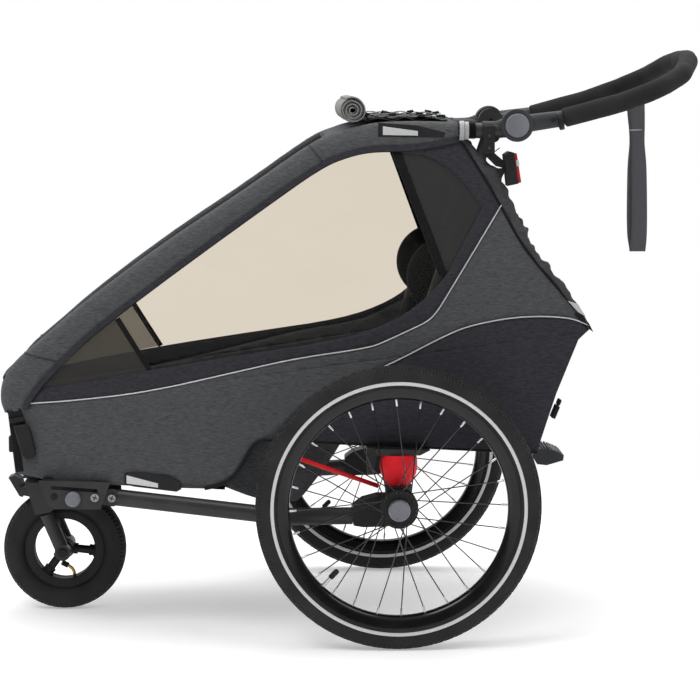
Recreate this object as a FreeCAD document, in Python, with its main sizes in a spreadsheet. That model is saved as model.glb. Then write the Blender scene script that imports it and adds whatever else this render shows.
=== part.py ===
"""Two-seat child bicycle trailer in stroller trim: parametric model, millimetres.

Row frame: +Z up, +X to the rear (handlebar end), +Y to the right-hand side.
The origin lies on the ground under the middle of the trailer.
Side outlines below are lists of (distance behind the rear axle, height).
"""
import FreeCAD, Part
import math
import os
import Sketcher
from FreeCAD import Placement, Rotation, Vector

DIMENSIONS = {
    # place of the rear axle and the big wheels
    "axle_x": 85, "track_half": 355, "wheel_radius": 250, "tyre_width": 47,
    "tyre_bead": 210.5, "tyre_wall": 4, "rim_outer": 210, "rim_inner": 191, "rim_width": 28,
    "spoke_count": 28, "spoke_radius": 1.1, "nipple_radius": 2.2, "flange_radius": 33.5,
    "flange_offset": 18, "flange_thick": 3, "hub_radius": 16, "hub_end": 25, "bearing_seat": 20,
    "axle_radius": 8, "running_gap": 0.05, "axle_head_radius": 19, "button_radius": 17.5,
    "button_stem": 3, "button_travel": 3,
    # suspension arms
    "arm_front_x": -510, "arm_front_z": 243, "arm_front_y": 187, "arm_rear_x": -78,
    "arm_rear_z": 222, "arm_rear_y": 275, "arm_tall": 15.5, "arm_wide": 11, "pivot_radius": 4,
    "carrier_inner": 262, "carrier_outer": 308, "elastomer_radius": 29,
    # caster
    "swivel_x": -655, "trail": 42, "caster_radius": 115, "caster_tyre_width": 50,
    "caster_rim": 74, "caster_rim_inner": 58, "caster_rim_width": 30, "caster_hub": 18,
    "caster_axle": 5, "leg_y": 45, "leg_radius": 13, "swivel_radius": 8,
    # frame
    "tube_radius": 12.5, "hoop_radius": 11, "rail_front_x": -650, "rail_front_z": 300,
    "rail_front_y": 150, "rail_bend_x": -235, "rail_z": 372, "rail_rear_x": 244,
    "rail_rear_y": 235, "plate_thick": 6, "plate_y": 200, "inner_plate_y": 158, "post_foot_x": -10,
    "post_foot_z": 385, "post_foot_y": 243, "post_top_x": 160, "post_top_z": 899,
    "post_top_y": 270, "top_bar_x": 170, "top_bar_z": 893, "roof_rail_y": 242, "hoop_inset": 20, "hoop_foot_x": -640,
    "hoop_foot_z": 332, "hoop_foot_y": 154.5, "adapter_y": 283, "adapter_z": 904,
    "joint_x": 208, "joint_z": 913, "joint_radius": 27.5, "handle_button_radius": 21,
    # handlebar
    "bar_radius": 11, "grip_radius": 17,
    # cabin fabric
    "nose_x": -710, "nose_half": 166, "wide_x": 157, "wide_half": 287, "cloth": 4,
    "footwell_half": 192,
}


def make_sheet(document):
    table = document.addObject("Spreadsheet::Sheet", "sheet")
    for row, (alias, value) in enumerate(DIMENSIONS.items(), 1):
        table.set("A%d" % row, alias)
        table.set("B%d" % row, str(value))
        table.setAlias("B%d" % row, alias)
    document.recompute()
    return table


doc = FreeCAD.newDocument("child_bicycle_trailer")
sheet = make_sheet(doc)
nodes = []


def size(alias):
    return float(sheet.get(alias))


AXLE_X = size("axle_x")
CLOTH = size("cloth")
SIDES = (("left", -1), ("right", 1))
FAR = 1500


def behind(distance):
    """X of a point given as a distance behind the rear axle."""
    return AXLE_X + distance


def half_width(distance):
    """Half width of the cabin's cloth at a distance behind the axle."""
    nose, wide = size("nose_x"), size("wide_x")
    part = min(max((distance - nose) / (wide - nose), 0), 1)
    return size("nose_half") + part * (size("wide_half") - size("nose_half"))


# ---------------------------------------------------------------- helpers

def add_node(name, shape, place=None):
    """A sub-part whose shape comes from Part's functions."""
    node = doc.addObject("Part::Feature", name)
    node.Label = name
    node.Shape = shape
    if place is not None:
        node.Placement = place
    nodes.append(node)
    return node


def add_body(name, place=None):
    body = doc.addObject("PartDesign::Body", name)
    body.Label = name
    if place is not None:
        body.Placement = place
    nodes.append(body)
    return body


def sketch_on(body, role, name):
    plane = [item for item in body.Origin.OriginFeatures if item.Role == role][0]
    sketch = body.newObject("Sketcher::SketchObject", name)
    sketch.AttachmentSupport = [(plane, "")]
    sketch.MapMode = "FlatFace"
    return sketch


def bound_polygon(sketch, corners):
    """A closed outline whose corners follow expressions on the sheet."""
    count = len(corners)
    step = 2 * math.pi / count
    start = [Vector(100 * math.cos(i * step), 100 * math.sin(i * step), 0) for i in range(count)]
    for i in range(count):
        sketch.addGeometry(Part.LineSegment(start[i], start[(i + 1) % count]), False)
    for i in range(count):
        sketch.addConstraint(Sketcher.Constraint("Coincident", i, 2, (i + 1) % count, 1))
    for i, (across, up) in enumerate(corners):
        for kind, value, text in (("DistanceX", start[i].x, across), ("DistanceY", start[i].y, up)):
            index = sketch.addConstraint(Sketcher.Constraint(kind, -1, 1, i, 1, value))
            sketch.setExpression("Constraints[%d]" % index, text)


def bound_circle(sketch, radius, across="0", up="0"):
    index = sketch.addGeometry(Part.Circle(Vector(1, 1, 0), Vector(0, 0, 1), 10), False)
    for kind, text in (("DistanceX", across), ("DistanceY", up)):
        number = sketch.addConstraint(Sketcher.Constraint(kind, -1, 1, index, 3, 1))
        sketch.setExpression("Constraints[%d]" % number, text)
    number = sketch.addConstraint(Sketcher.Constraint("Radius", index, 10))
    sketch.setExpression("Constraints[%d]" % number, radius)


def turned(name, corners, place):
    """A body turned about its own Y axis; corners are (along Y, radius)."""
    body = add_body(name, place)
    sketch = sketch_on(body, "YZ_Plane", name + "_section")
    bound_polygon(sketch, corners)
    turn = body.newObject("PartDesign::Revolution", name + "_turn")
    turn.Profile = sketch
    turn.ReferenceAxis = (sketch, ["H_Axis"])
    turn.Angle = 360
    return body


def pad(body, role, name, draw, length, both_ways=False, reverse=False):
    sketch = sketch_on(body, role, name + "_outline")
    draw(sketch)
    feature = body.newObject("PartDesign::Pad", name)
    feature.Profile = sketch
    feature.setExpression("Length", length)
    if both_ways:
        feature.SideType = "Symmetric"
    feature.Reversed = reverse
    return feature


def rounded_path(points, radius):
    """Straight runs through the points, joined by arcs that touch both runs."""
    points = [Vector(*point) for point in points]
    edges = []
    start = points[0]
    for before, corner, after in zip(points, points[1:], points[2:]):
        back = (before - corner).normalize()
        ahead = (after - corner).normalize()
        half_turn = (math.pi - back.getAngle(ahead)) / 2
        reach = min((before - corner).Length, (after - corner).Length) * 0.45
        cut = min(radius * math.tan(half_turn), reach)
        bend = cut / math.tan(half_turn)
        first = corner + back * cut
        last = corner + ahead * cut
        towards = (back + ahead).normalize()
        centre = corner + towards * math.hypot(cut, bend)
        edges.append(Part.LineSegment(start, first).toShape())
        edges.append(Part.Arc(first, centre - towards * bend, last).toShape())
        start = last
    edges.append(Part.LineSegment(start, points[-1]).toShape())
    return Part.Wire(edges)


def tube(points, radius, bend=40):
    """A round bar along a rounded path."""
    path = rounded_path(points, bend)
    along = Vector(*points[1]) - Vector(*points[0])
    ring = Part.Wire([Part.Circle(Vector(*points[0]), along, radius).toShape()])
    return path.makePipeShell([ring], True, False)


def rod(start, end, radius):
    start, end = Vector(*start), Vector(*end)
    return Part.makeCylinder(radius, (end - start).Length, start, end - start)


def across(x, z, radius, low, high):
    """A bar along Y between two distances from the middle plane."""
    return Part.makeCylinder(radius, high - low, Vector(x, low, z), Vector(0, 1, 0))


def box(low, high):
    low, high = Vector(*low), Vector(*high)
    return Part.makeBox(high.x - low.x, high.y - low.y, high.z - low.z, low)


def side_face(outline):
    """A flat face in the middle plane from (distance behind the axle, height) corners."""
    corners = [Vector(behind(x), 0, z) for x, z in outline]
    return Part.Face(Part.makePolygon(corners + corners[:1]))


def slab(outline, low, high):
    """The side outline drawn out between two Y values."""
    face = side_face(outline)
    face.translate(Vector(0, low, 0))
    return face.extrude(Vector(0, high - low, 0))


def mirrored(shape):
    return shape.mirror(Vector(0, 0, 0), Vector(0, 1, 0))


def on_side(shape, side):
    """A shape drawn for the right-hand side, or its mirror image."""
    return shape if side > 0 else mirrored(shape)


def both(shape):
    return Part.makeCompound([mirrored(shape), shape])


# ---------------------------------------------------------------- big wheels

def wheel_place(side):
    """Wheel frame: centre of the wheel, +Y pointing outboard."""
    turn = Rotation(Vector(0, 0, 1), 0 if side > 0 else 180)
    return Placement(Vector(AXLE_X, side * size("track_half"), size("wheel_radius")), turn)


def make_tyre(name, place):
    width, outer, bead = "sheet.tyre_width / 2", "sheet.wheel_radius", "sheet.tyre_bead"
    outside = [(0.50, bead), (0.84, bead + " + 6"), (1.0, outer + " - 22"), (0.9, outer + " - 10"),
               (0.56, outer + " - 3"), (0.0, outer)]
    inside = [(0.0, outer + " - 6"), (0.48, outer + " - 9"), (0.74, outer + " - 14"),
              (0.84, outer + " - 22"), (0.68, bead + " + 9"), (0.36, bead + " + 4")]
    right = [("%s * %s" % (width, part), up) for part, up in outside]
    left = [("-%s * %s" % (width, part), up) for part, up in reversed(outside[:-1])]
    hollow_left = [("-%s * %s" % (width, part), up) for part, up in reversed(inside[1:])]
    hollow_right = [("%s * %s" % (width, part), up) for part, up in inside]
    return turned(name, right + left + hollow_left + hollow_right, place)


def make_rim(name, place):
    half, outer, inner = "sheet.rim_width / 2", "sheet.rim_outer", "sheet.rim_inner"
    section = [("-" + half, outer), ("-" + half, inner + " + 7"), ("-%s * 0.5" % half, inner),
               ("%s * 0.5" % half, inner), (half, inner + " + 7"), (half, outer),
               (half + " - 2", outer), (half + " - 3", inner + " + 10"),
               ("-%s + 3" % half, inner + " + 10"), ("-%s + 2" % half, outer)]
    return turned(name, section, place)


def make_hub(name, place):
    flange = "sheet.flange_offset"
    thick = "sheet.flange_offset + sheet.flange_thick"
    bore = "sheet.axle_radius + sheet.running_gap"
    section = [("-sheet.hub_end", bore), ("-sheet.hub_end", "sheet.bearing_seat"),
               ("-(%s)" % thick, "sheet.bearing_seat"), ("-(%s)" % thick, "sheet.flange_radius"),
               ("-" + flange, "sheet.flange_radius"), ("-" + flange, "sheet.hub_radius"),
               (flange, "sheet.hub_radius"), (flange, "sheet.flange_radius"),
               (thick, "sheet.flange_radius"), (thick, "sheet.bearing_seat"),
               ("sheet.hub_end", "sheet.bearing_seat"), ("sheet.hub_end", bore)]
    return turned(name, section, place)


def make_spokes(name, place):
    """Spokes laced from two flanges, each with its nipple in the rim."""
    count = int(size("spoke_count"))
    root = size("flange_radius") - 3.5
    tip = size("rim_inner")
    lean = math.radians(32)
    pieces = []
    for number in range(count):
        turn = 2 * math.pi * number / count
        out = 1 if number % 2 else -1
        swing = lean if number % 4 < 2 else -lean
        foot = Vector(root * math.cos(turn + swing), out * (size("flange_offset") - size("spoke_radius")),
                      root * math.sin(turn + swing))
        head = Vector(tip * math.cos(turn), out * 3, tip * math.sin(turn))
        along = (head - foot).normalize()
        pieces.append(rod(foot, head - along * 12, size("spoke_radius")))
        pieces.append(rod(head - along * 12, head - along * 0.5, size("nipple_radius")))
    return add_node(name, Part.makeCompound(pieces), place)


def make_stub_axle(name, place):
    """Hollow push-in axle with an outboard head that traps the hub."""
    section = [("-92", "0"), ("-90", "sheet.axle_radius"), ("26", "sheet.axle_radius"),
               ("26", "sheet.axle_head_radius"), ("31", "sheet.axle_head_radius"),
               ("31", "sheet.button_stem + sheet.running_gap"),
               ("8", "sheet.button_stem + sheet.running_gap"), ("8", "0")]
    return turned(name, section, place)


def make_hub_button(name, place):
    section = [("12", "0"), ("12", "sheet.button_stem"), ("32 + sheet.button_travel", "sheet.button_stem"),
               ("32 + sheet.button_travel", "sheet.button_radius"), ("37", "sheet.button_radius"),
               ("38", "sheet.button_radius - 2"), ("38", "0")]
    return turned(name, section, place)


def make_wheels():
    for word, side in SIDES:
        place = wheel_place(side)
        make_tyre("tyre_" + word, place)
        make_rim("rim_" + word, place)
        make_spokes("spokes_" + word, place)
        make_hub("hub_" + word, place)
        make_stub_axle("stub_axle_" + word, place)
        make_hub_button("hub_button_" + word, place)


# ---------------------------------------------------------------- suspension

def elliptic_run(start, end, tall, wide):
    """A straight oval bar from start to end."""
    start, end = Vector(*start), Vector(*end)
    oval = Part.Ellipse(Vector(0, 0, 0), tall, wide).toShape()
    oval.Placement = Placement(start, Rotation(Vector(0, 0, 1), Vector(1, 0, 0)))
    return Part.Face(Part.Wire([oval])).extrude(end - start)


def make_arms():
    """Swing arms from the front brackets back to the wheel carriers."""
    front = (behind(size("arm_front_x")), size("arm_front_y"), size("arm_front_z"))
    rear = (behind(size("arm_rear_x")), size("arm_rear_y"), size("arm_rear_z"))
    middle = (behind(-200), 262, 218.5)
    eye_radius = 16
    for word, side in SIDES:
        arm = elliptic_run(front, middle, size("arm_tall"), size("arm_wide"))
        arm = arm.fuse(elliptic_run(middle, rear, size("arm_tall"), size("arm_wide")))
        eye = across(front[0], front[2], eye_radius, front[1] - size("arm_wide"), front[1] + size("arm_wide"))
        bore = across(front[0], front[2], size("pivot_radius") + size("running_gap"), 0, 400)
        arm = arm.fuse(eye).cut(bore).removeSplitter()
        add_node("suspension_arm_" + word, on_side(arm, side))


def make_carriers():
    """Cast carriers that join each arm to its stub axle and hold the spring's foot."""
    inner, outer = size("carrier_inner"), size("carrier_outer")
    web = [(-78, 243), (-62, 255), (-36, 262), (26, 262), (38, 246), (30, 228), (10, 212),
           (-20, 208), (-60, 207), (-78, 210)]
    for word, side in SIDES:
        body = slab(web, inner, outer)
        boss = across(AXLE_X, size("wheel_radius"), 22, inner - 4, outer + 12)
        seat = Part.makeCylinder(24, 17, Vector(behind(3), 284, 263 - 1))
        bore = across(AXLE_X, size("wheel_radius"), size("axle_radius"), 0, 400)
        rounded = body.makeFillet(4, [e for e in body.Edges if abs(e.tangentAt(0).y) > 0.9])
        carrier = rounded.fuse([boss, seat]).cut(bore).removeSplitter()
        add_node("axle_carrier_" + word, on_side(carrier, side))


SEAT_POST = (8, 40)


def make_springs():
    """Rubber barrel springs over the carriers, their seats, and slim leaf springs."""
    centre = Vector(behind(3), 284, 0)
    profile = [(0, 279), (22, 279), (28, 292), (33, 312), (33, 326), (31, 334), (0, 334)]
    corners = [centre + Vector(radius, 0, height) for radius, height in profile]
    barrel = Part.Face(Part.makePolygon(corners + corners[:1])).revolve(centre, Vector(0, 0, 1), 360)
    for word, side in SIDES:
        add_node("elastomer_" + word, on_side(barrel, side))
        leaf = slab([(-170, 323), (-166, 327), (-150, 320), (-29, 271), (-31, 267), (-170, 314)], 246, 257)
        add_node("leaf_spring_" + word, on_side(leaf, side))
    tab = slab([(-41, 346), (-36, 334), (40, 334), (58, 343.2)], 226, 304)
    lug = slab([(-54, 346.4), (-40, 346), (-35, 335), (-41, 300), (-52, 297)], 264, 290)
    post = box((behind(SEAT_POST[0]), 226, 340), (behind(SEAT_POST[1]), 244, size("rail_z")))
    rail = tube(rail_line(1), size("tube_radius") + size("running_gap"), 120)
    add_node("spring_seats", both(tab.fuse([post, lug]).cut(rail).removeSplitter().Solids[0]))


# ---------------------------------------------------------------- frame

def rail_line(side):
    return [(behind(size("rail_front_x")), side * size("rail_front_y"), size("rail_front_z")),
            (behind(size("rail_bend_x")), side * 196, size("rail_z")),
            (behind(size("rail_rear_x")), side * size("rail_rear_y"), size("rail_z"))]


def cross_bars():
    """Bars across the frame at the nose, under the seat and at the rear."""
    spots = [(size("rail_front_x") + 8, size("rail_front_z") + 1.4, size("rail_front_y")),
             (-215, size("rail_z"), 198), (size("rail_rear_x") - 16, size("rail_z"), size("rail_rear_y"))]
    return [across(behind(x), z, size("tube_radius"), -reach, reach) for x, z, reach in spots]


def make_lower_frame():
    radius = size("tube_radius")
    rails = [tube(rail_line(side), radius, 120) for word, side in SIDES]
    for (word, side), rail in zip(SIDES, rails):
        add_node("side_rail_" + word, rail)
    bars = [bar.cut(Part.makeCompound(rails)) for bar in cross_bars()]
    add_node("cross_tubes", Part.makeCompound([bar.Solids[0] for bar in bars]))


def slot_cutter(start, end, radius, low, high):
    """A long hole through a side plate."""
    (x1, z1), (x2, z2) = start, end
    first = across(behind(x1), z1, radius, low, high)
    last = across(behind(x2), z2, radius, low, high)
    lift = Vector(-(z2 - z1), 0, x2 - x1).normalize() * radius
    corners = [Vector(behind(x1), low, z1) + lift, Vector(behind(x2), low, z2) + lift,
               Vector(behind(x2), low, z2) - lift, Vector(behind(x1), low, z1) - lift]
    middle = Part.Face(Part.makePolygon(corners + corners[:1])).extrude(Vector(0, high - low, 0))
    return first.fuse([last, middle])


SLOT = ((-616, 263), (-538, 257))
LOCK_HOLE = (-579, 243)
PLAIN_HOLE = (-613, 247)
PLATE_BOLT = (-540, 245)


def make_brackets():
    """Front side plates: an outer plate with the drawbar's slot and an inner one for the arm."""
    low = size("plate_y")
    high = low + size("plate_thick")
    inner = size("inner_plate_y")
    outline = [(-641, 276), (-624, 229), (-612, 224), (-531, 223), (-512, 272), (-560, 274)]
    backing = [(-640, 286), (-628, 230), (-612, 223), (-500, 224), (-494, 240), (-496, 262), (-520, 274),
               (-560, 284)]
    plate = slab(outline, low, high).cut(slot_cutter(SLOT[0], SLOT[1], 3.2, 170, 400))
    for (x, z), radius in ((LOCK_HOLE, 5.05), (PLAIN_HOLE, 6.5)):
        plate = plate.cut(across(behind(x), z, radius, 0, 400))
    back = slab(backing, inner, inner + size("plate_thick"))
    web = slab([(-636, 270), (-636, 275), (-545, 272.6), (-545, 267.6)], inner + 1, low + 1)
    link = box((behind(-634), 142, 280), (behind(-560), inner + 1, 287))
    whole = plate.fuse([back, web, link])
    for (x, z), radius in ((PLATE_BOLT, 4), ((size("arm_front_x"), size("arm_front_z")), size("pivot_radius"))):
        whole = whole.cut(across(behind(x), z, radius, 0, 400))
    rails = Part.makeCompound([tube(rail_line(side), size("tube_radius"), 120) for word, side in SIDES])
    whole = whole.cut(rails).removeSplitter()
    for word, side in SIDES:
        add_node("front_bracket_" + word, on_side(whole, side))


def make_bolts():
    """Arm pivot bolts and plate bolts, one solid each."""
    low, inner = size("plate_y"), size("inner_plate_y")
    outer = size("arm_front_y") + size("arm_wide")
    pivot = across(behind(size("arm_front_x")), size("arm_front_z"), size("pivot_radius"), inner - 2, outer + 4)
    pivot = pivot.fuse(across(behind(size("arm_front_x")), size("arm_front_z"), 7, outer + 3, outer + 8))
    short = across(behind(PLATE_BOLT[0]), PLATE_BOLT[1], 4, inner - 2, low + 6)
    short = short.fuse(across(behind(PLATE_BOLT[0]), PLATE_BOLT[1], 7.4, low + 6, low + 11))
    add_node("frame_bolts", Part.makeCompound([both(pivot.removeSplitter()), both(short.removeSplitter())]))


def make_drawbar_lock():
    """Sprung pin with a round knob that would lock a drawbar in the left plate."""
    body = add_body("drawbar_knob", Placement(Vector(behind(LOCK_HOLE[0]), -size("plate_y"), LOCK_HOLE[1]),
                                              Rotation()))
    pin = [("14", "0"), ("14", "5"), ("-7", "5"), ("-7", "13.5"), ("-17", "13.5"), ("-20", "10"), ("-20", "0")]
    sketch = sketch_on(body, "YZ_Plane", "knob_section")
    bound_polygon(sketch, pin)
    turn = body.newObject("PartDesign::Revolution", "knob_turn")
    turn.Profile = sketch
    turn.ReferenceAxis = (sketch, ["H_Axis"])
    turn.Angle = 360


def make_receiver():
    """Nose block that takes the caster's swivel pin."""
    outline = [(-688, 252), (-686, 262), (-668, 290), (-630, 294), (-630, 252)]
    block = slab(outline, -32, 32)
    front_bar = across(behind(size("rail_front_x") + 8), size("rail_front_z") + 1.4, size("tube_radius"), -60, 60)
    bore = Part.makeCylinder(size("swivel_radius") + size("running_gap"), 32,
                             Vector(behind(size("swivel_x")), 0, 250))
    add_node("caster_receiver", block.cut(front_bar).cut(bore).removeSplitter())


def hoop_y(distance):
    return min(half_width(distance) - size("hoop_inset"), size("roof_rail_y"))


HOOP_LINE = [(-684, 430), (-640, 500), (-140, 868), (-60, 899), (86, 903)]


def make_front_hoop():
    """Bent side tubes from the nose over the roof, joined by two cross bars."""
    radius = size("hoop_radius")
    foot = (behind(size("hoop_foot_x")), size("hoop_foot_y"), size("hoop_foot_z"))
    points = [foot] + [(behind(x), hoop_y(x), z) for x, z in HOOP_LINE]
    side_tube = tube(points, radius, 60)
    eye = across(foot[0], foot[2], 13, foot[1] - 11, foot[1] + 11)
    bore = across(foot[0], foot[2], size("pivot_radius") + size("running_gap"), 0, 400)
    side_tube = side_tube.fuse(eye).cut(bore)
    roof_bar = across(behind(-60), 897, 9, -hoop_y(-60), hoop_y(-60))
    lip_bar = across(behind(-684), 430, 8, -hoop_y(-684), hoop_y(-684))
    hoop = side_tube.fuse([mirrored(side_tube), roof_bar, lip_bar]).removeSplitter()
    add_node("front_hoop", hoop)


def post_point(part, side=1):
    """A point on a rear post: part 0 at its foot, 1 at its top."""
    low = Vector(behind(size("post_foot_x")), size("post_foot_y"), size("post_foot_z"))
    high = Vector(behind(size("post_top_x")), size("post_top_y"), size("post_top_z"))
    point = low + (high - low) * part
    return Vector(point.x, side * point.y, point.z)


def make_rear_hoop():
    """Leaning posts, the top bar between them, and the tubes that carry the handle joints."""
    radius = size("hoop_radius")
    foot = post_point(0)
    top = post_point(1)
    post = rod(foot, top, radius)
    eye = across(foot.x, foot.z, 14, foot.y - 11, foot.y + 11)
    bore = across(foot.x, foot.z, size("pivot_radius") + size("running_gap"), 0, 400)
    adapter = rod((behind(115), size("adapter_y"), size("adapter_z")),
                  (behind(181), size("adapter_y"), size("adapter_z")), 13)
    cap = Part.makeSphere(13, Vector(behind(181), size("adapter_y"), size("adapter_z")))
    side = post.fuse([eye, adapter, cap]).cut(bore)
    bar = across(behind(size("top_bar_x")), size("top_bar_z"), 10, -top.y, top.y)
    add_node("rear_hoop", side.fuse([mirrored(side), bar]).removeSplitter())


def make_hinges():
    """Ears and pins that carry the feet of both hoops on the rails."""
    x, y, z = behind(size("hoop_foot_x")), size("hoop_foot_y"), size("hoop_foot_z")
    pin = size("pivot_radius")
    ears = [box((x - 12, y + low, z - 24), (x + 12, y + low + 3, z + 10)) for low in (-15.2, 12.2)]
    base = box((x - 12, y - 15.2, z - 24), (x + 12, y + 15.2, z - 17))
    front = base.fuse(ears + [across(x, z, pin, y - 15.2, y + 15.2)]).cut(cross_bars()[0])
    foot = post_point(0)
    rail = Part.makeCompound([tube(rail_line(side), size("tube_radius"), 120) for word, side in SIDES])
    plate = box((foot.x - 14, foot.y - 34, foot.z - 22), (foot.x + 14, foot.y - 12, foot.z + 14))
    rear = plate.fuse(across(foot.x, foot.z, pin, foot.y - 20, foot.y + 12)).cut(rail)
    pieces = [front.cut(rail).removeSplitter(), rear.removeSplitter()]
    add_node("hoop_hinges", Part.makeCompound([both(piece.Solids[0]) for piece in pieces]))


def make_roof_clips():
    """Clips and collars where the roof tubes let go of the rear frame."""
    pieces = []
    for start, end, outer in ((108, 116, 17), (117, 124, 15.5)):
        ring = rod((behind(start), size("adapter_y"), size("adapter_z")),
                   (behind(end), size("adapter_y"), size("adapter_z")), outer)
        pieces.append(both(ring.cut(rod((behind(90), size("adapter_y"), size("adapter_z")),
                                        (behind(150), size("adapter_y"), size("adapter_z")), 13))))
    add_node("roof_clips", Part.makeCompound(pieces))


# ---------------------------------------------------------------- caster

def make_caster():
    swivel = behind(size("swivel_x"))
    wheel_x = swivel + size("trail")
    wheel_z = size("caster_radius")
    crown = slab([(-682, 249), (-640, 249), (-622, 238), (-620, 204), (-636, 192), (-662, 188)], -62, 62)
    room = across(wheel_x, wheel_z, size("caster_radius") + 6, -31, 31)
    pin = Part.makeCylinder(size("swivel_radius"), 36, Vector(swivel, 0, 240))
    lock_x, lock_z = behind(-690), 226
    ears = both(slab([(-664, 238), (-696, 234), (-696, 220), (-664, 214)], 18.5, 26))
    lock_pin = across(lock_x, lock_z, 3, -26, 26)
    crown = crown.cut(room).fuse([pin, lock_pin] + ears.Solids).removeSplitter()
    add_node("fork_crown", crown)
    lever = slab([(-716, 251), (-706, 255), (-693, 249), (-685, 222), (-690, 214), (-696, 216)], -18, 18)
    lever = lever.cut(across(lock_x, lock_z, 3 + size("running_gap"), -40, 40))
    add_node("swivel_lock", lever)
    knee = (behind(-643), size("leg_y"), 187)
    foot = (wheel_x, size("leg_y"), wheel_z)
    leg = rod(knee, foot, size("leg_radius")).cut(crown)
    dropout = across(foot[0], foot[2], 15, size("leg_y") - 8, size("leg_y") + 13.1)
    bore = across(foot[0], foot[2], size("caster_axle"), 0, 100)
    add_node("fork_legs", both(leg.fuse(dropout).cut(bore).removeSplitter()))
    nut = size("leg_y") + 13.3
    section = [("-66", "0"), ("-66", "8"), ("-%s" % nut, "8"), ("-%s" % nut, "sheet.caster_axle"),
               ("%s" % nut, "sheet.caster_axle"), ("%s" % nut, "8"), ("66", "8"), ("66", "0")]
    place = Placement(Vector(wheel_x, 0, wheel_z), Rotation())
    turned("front_axle", section, place)
    width, outer, bead = "sheet.caster_tyre_width / 2", "sheet.caster_radius", "sheet.caster_rim"
    tyre = [("-%s * 0.5" % width, bead), ("-%s" % width, bead + " + 18"), ("-%s * 0.8" % width, outer + " - 6"),
            ("-%s * 0.4" % width, outer), ("%s * 0.4" % width, outer), ("%s * 0.8" % width, outer + " - 6"),
            (width, bead + " + 18"), ("%s * 0.5" % width, bead)]
    turned("front_tyre", tyre, place)
    make_front_rim(place)


def make_front_rim(place):
    """Moulded wheel: hub, three spokes and rim."""
    bore = "sheet.caster_axle + sheet.running_gap"
    body = turned("front_rim", [("-28", bore), ("-28", "sheet.caster_hub"), ("28", "sheet.caster_hub"),
                                ("28", bore)], place)

    def spoke_outline(sketch):
        bound_polygon(sketch, [("-8", "sheet.caster_hub - 4"), ("8", "sheet.caster_hub - 4"),
                               ("10", "sheet.caster_rim_inner + 6"), ("-10", "sheet.caster_rim_inner + 6")])

    spoke = pad(body, "XZ_Plane", "front_spoke", spoke_outline, "18", both_ways=True)
    doc.recompute()
    axis = [item for item in body.Origin.OriginFeatures if item.Role == "Y_Axis"][0]
    ring = body.newObject("PartDesign::PolarPattern", "front_spokes")
    ring.Originals = [spoke]
    ring.Axis = (axis, [""])
    ring.Angle = 360
    ring.Occurrences = 3
    body.Tip = ring
    half, outer, inner = "sheet.caster_rim_width / 2", "sheet.caster_rim", "sheet.caster_rim_inner"
    sketch = sketch_on(body, "YZ_Plane", "front_rim_section")
    bound_polygon(sketch, [("-" + half, outer), ("-" + half, inner + " + 6"), ("-%s * 0.6" % half, inner),
                           ("%s * 0.6" % half, inner), (half, inner + " + 6"), (half, outer)])
    turn = body.newObject("PartDesign::Revolution", "front_rim_turn")
    turn.Profile = sketch
    turn.ReferenceAxis = (sketch, ["H_Axis"])
    turn.Angle = 360


# ---------------------------------------------------------------- cabin cloth

NOSE = [(-685, 284), (-698, 394), (-712, 410), (-711, 440), (-691, 483)]
HOOD_TOP = [(-637, 527), (-564, 591), (-419, 700), (-276, 798), (-152, 885), (-117, 903), (-47, 918), (92, 920)]
REAR_EDGE = [(127, 870), (162, 839), (194, 778), (228, 707), (280, 610), (329, 571), (337, 554), (319, 537),
             (281, 442), (254, 359), (248, 337)]
WING_UNDER = [(59, 344), (-154, 350), (-236, 351), (-254, 344), (-271, 312), (-291, 282), (-315, 269),
              (-429, 266)]
WELL_UNDER = [(-94, 351), (-166, 243), (-184, 232), (-246, 238), (-306, 262), (-429, 264)]
WAIST = [(-642, 438), (-452, 473), (-260, 507), (-82, 537), (6, 574)]


def plan_prism(inset):
    """Plan shape of the cabin: narrow nose, full width from behind the axle."""
    start, wide, end = size("nose_x") - 5, size("wide_x"), 345
    corners = []
    for distance in (start, wide, end):
        corners.append((behind(distance), half_width(distance) - inset))
    right = [Vector(x, y, 100) for x, y in corners]
    left = [Vector(x, -y, 100) for x, y in reversed(corners)]
    return Part.Face(Part.makePolygon(right + left + right[:1])).extrude(Vector(0, 0, 1000))


def inset_slab(outline, inset, low, high):
    face = side_face(outline)
    if inset:
        face = face.makeOffset2D(-inset, 2)
    face.translate(Vector(0, low, 0))
    return face.extrude(Vector(0, high - low, 0))


def cabin_solid(inset):
    """The whole cloth cabin, or its hollow when inset by the cloth's thickness."""
    upper = NOSE + HOOD_TOP + REAR_EDGE
    wings = inset_slab(upper + WING_UNDER, inset, -FAR, FAR)
    reach = size("footwell_half") - inset
    well = inset_slab(upper + WELL_UNDER, inset, -reach, reach)
    return wings.fuse(well).common(plan_prism(inset))


def region(outline):
    return slab(outline, -FAR, FAR)


BODY_REGION = [(-800, 100), (-800, 402)] + [(-660, 402)] + WAIST + [(40, 574), (450, 574), (450, 100)]
WINDOW_REGION = [(-642, 438), (-602, 481), (-529, 543), (-384, 652), (-241, 756), (-117, 843), (-47, 864),
                 (-9, 863), (80, 648), (41, 602), (6, 574)] + WAIST[-2:0:-1]
MESH_REGION = [(-9, 863), (65, 855), (100, 830), (153, 783), (80, 648)]
HOOD_REGION = [(-800, 402), (-660, 402), (-642, 438), (-602, 481), (-529, 543), (-384, 652), (-241, 756),
               (-117, 843), (-47, 864), (-9, 863), (65, 855), (108, 878), (108, 1000), (-800, 1000)]
REAR_REGION = [(108, 878), (65, 855), (100, 830), (153, 783), (80, 648), (41, 602), (6, 574), (450, 574),
               (450, 1000), (108, 1000)]


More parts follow.
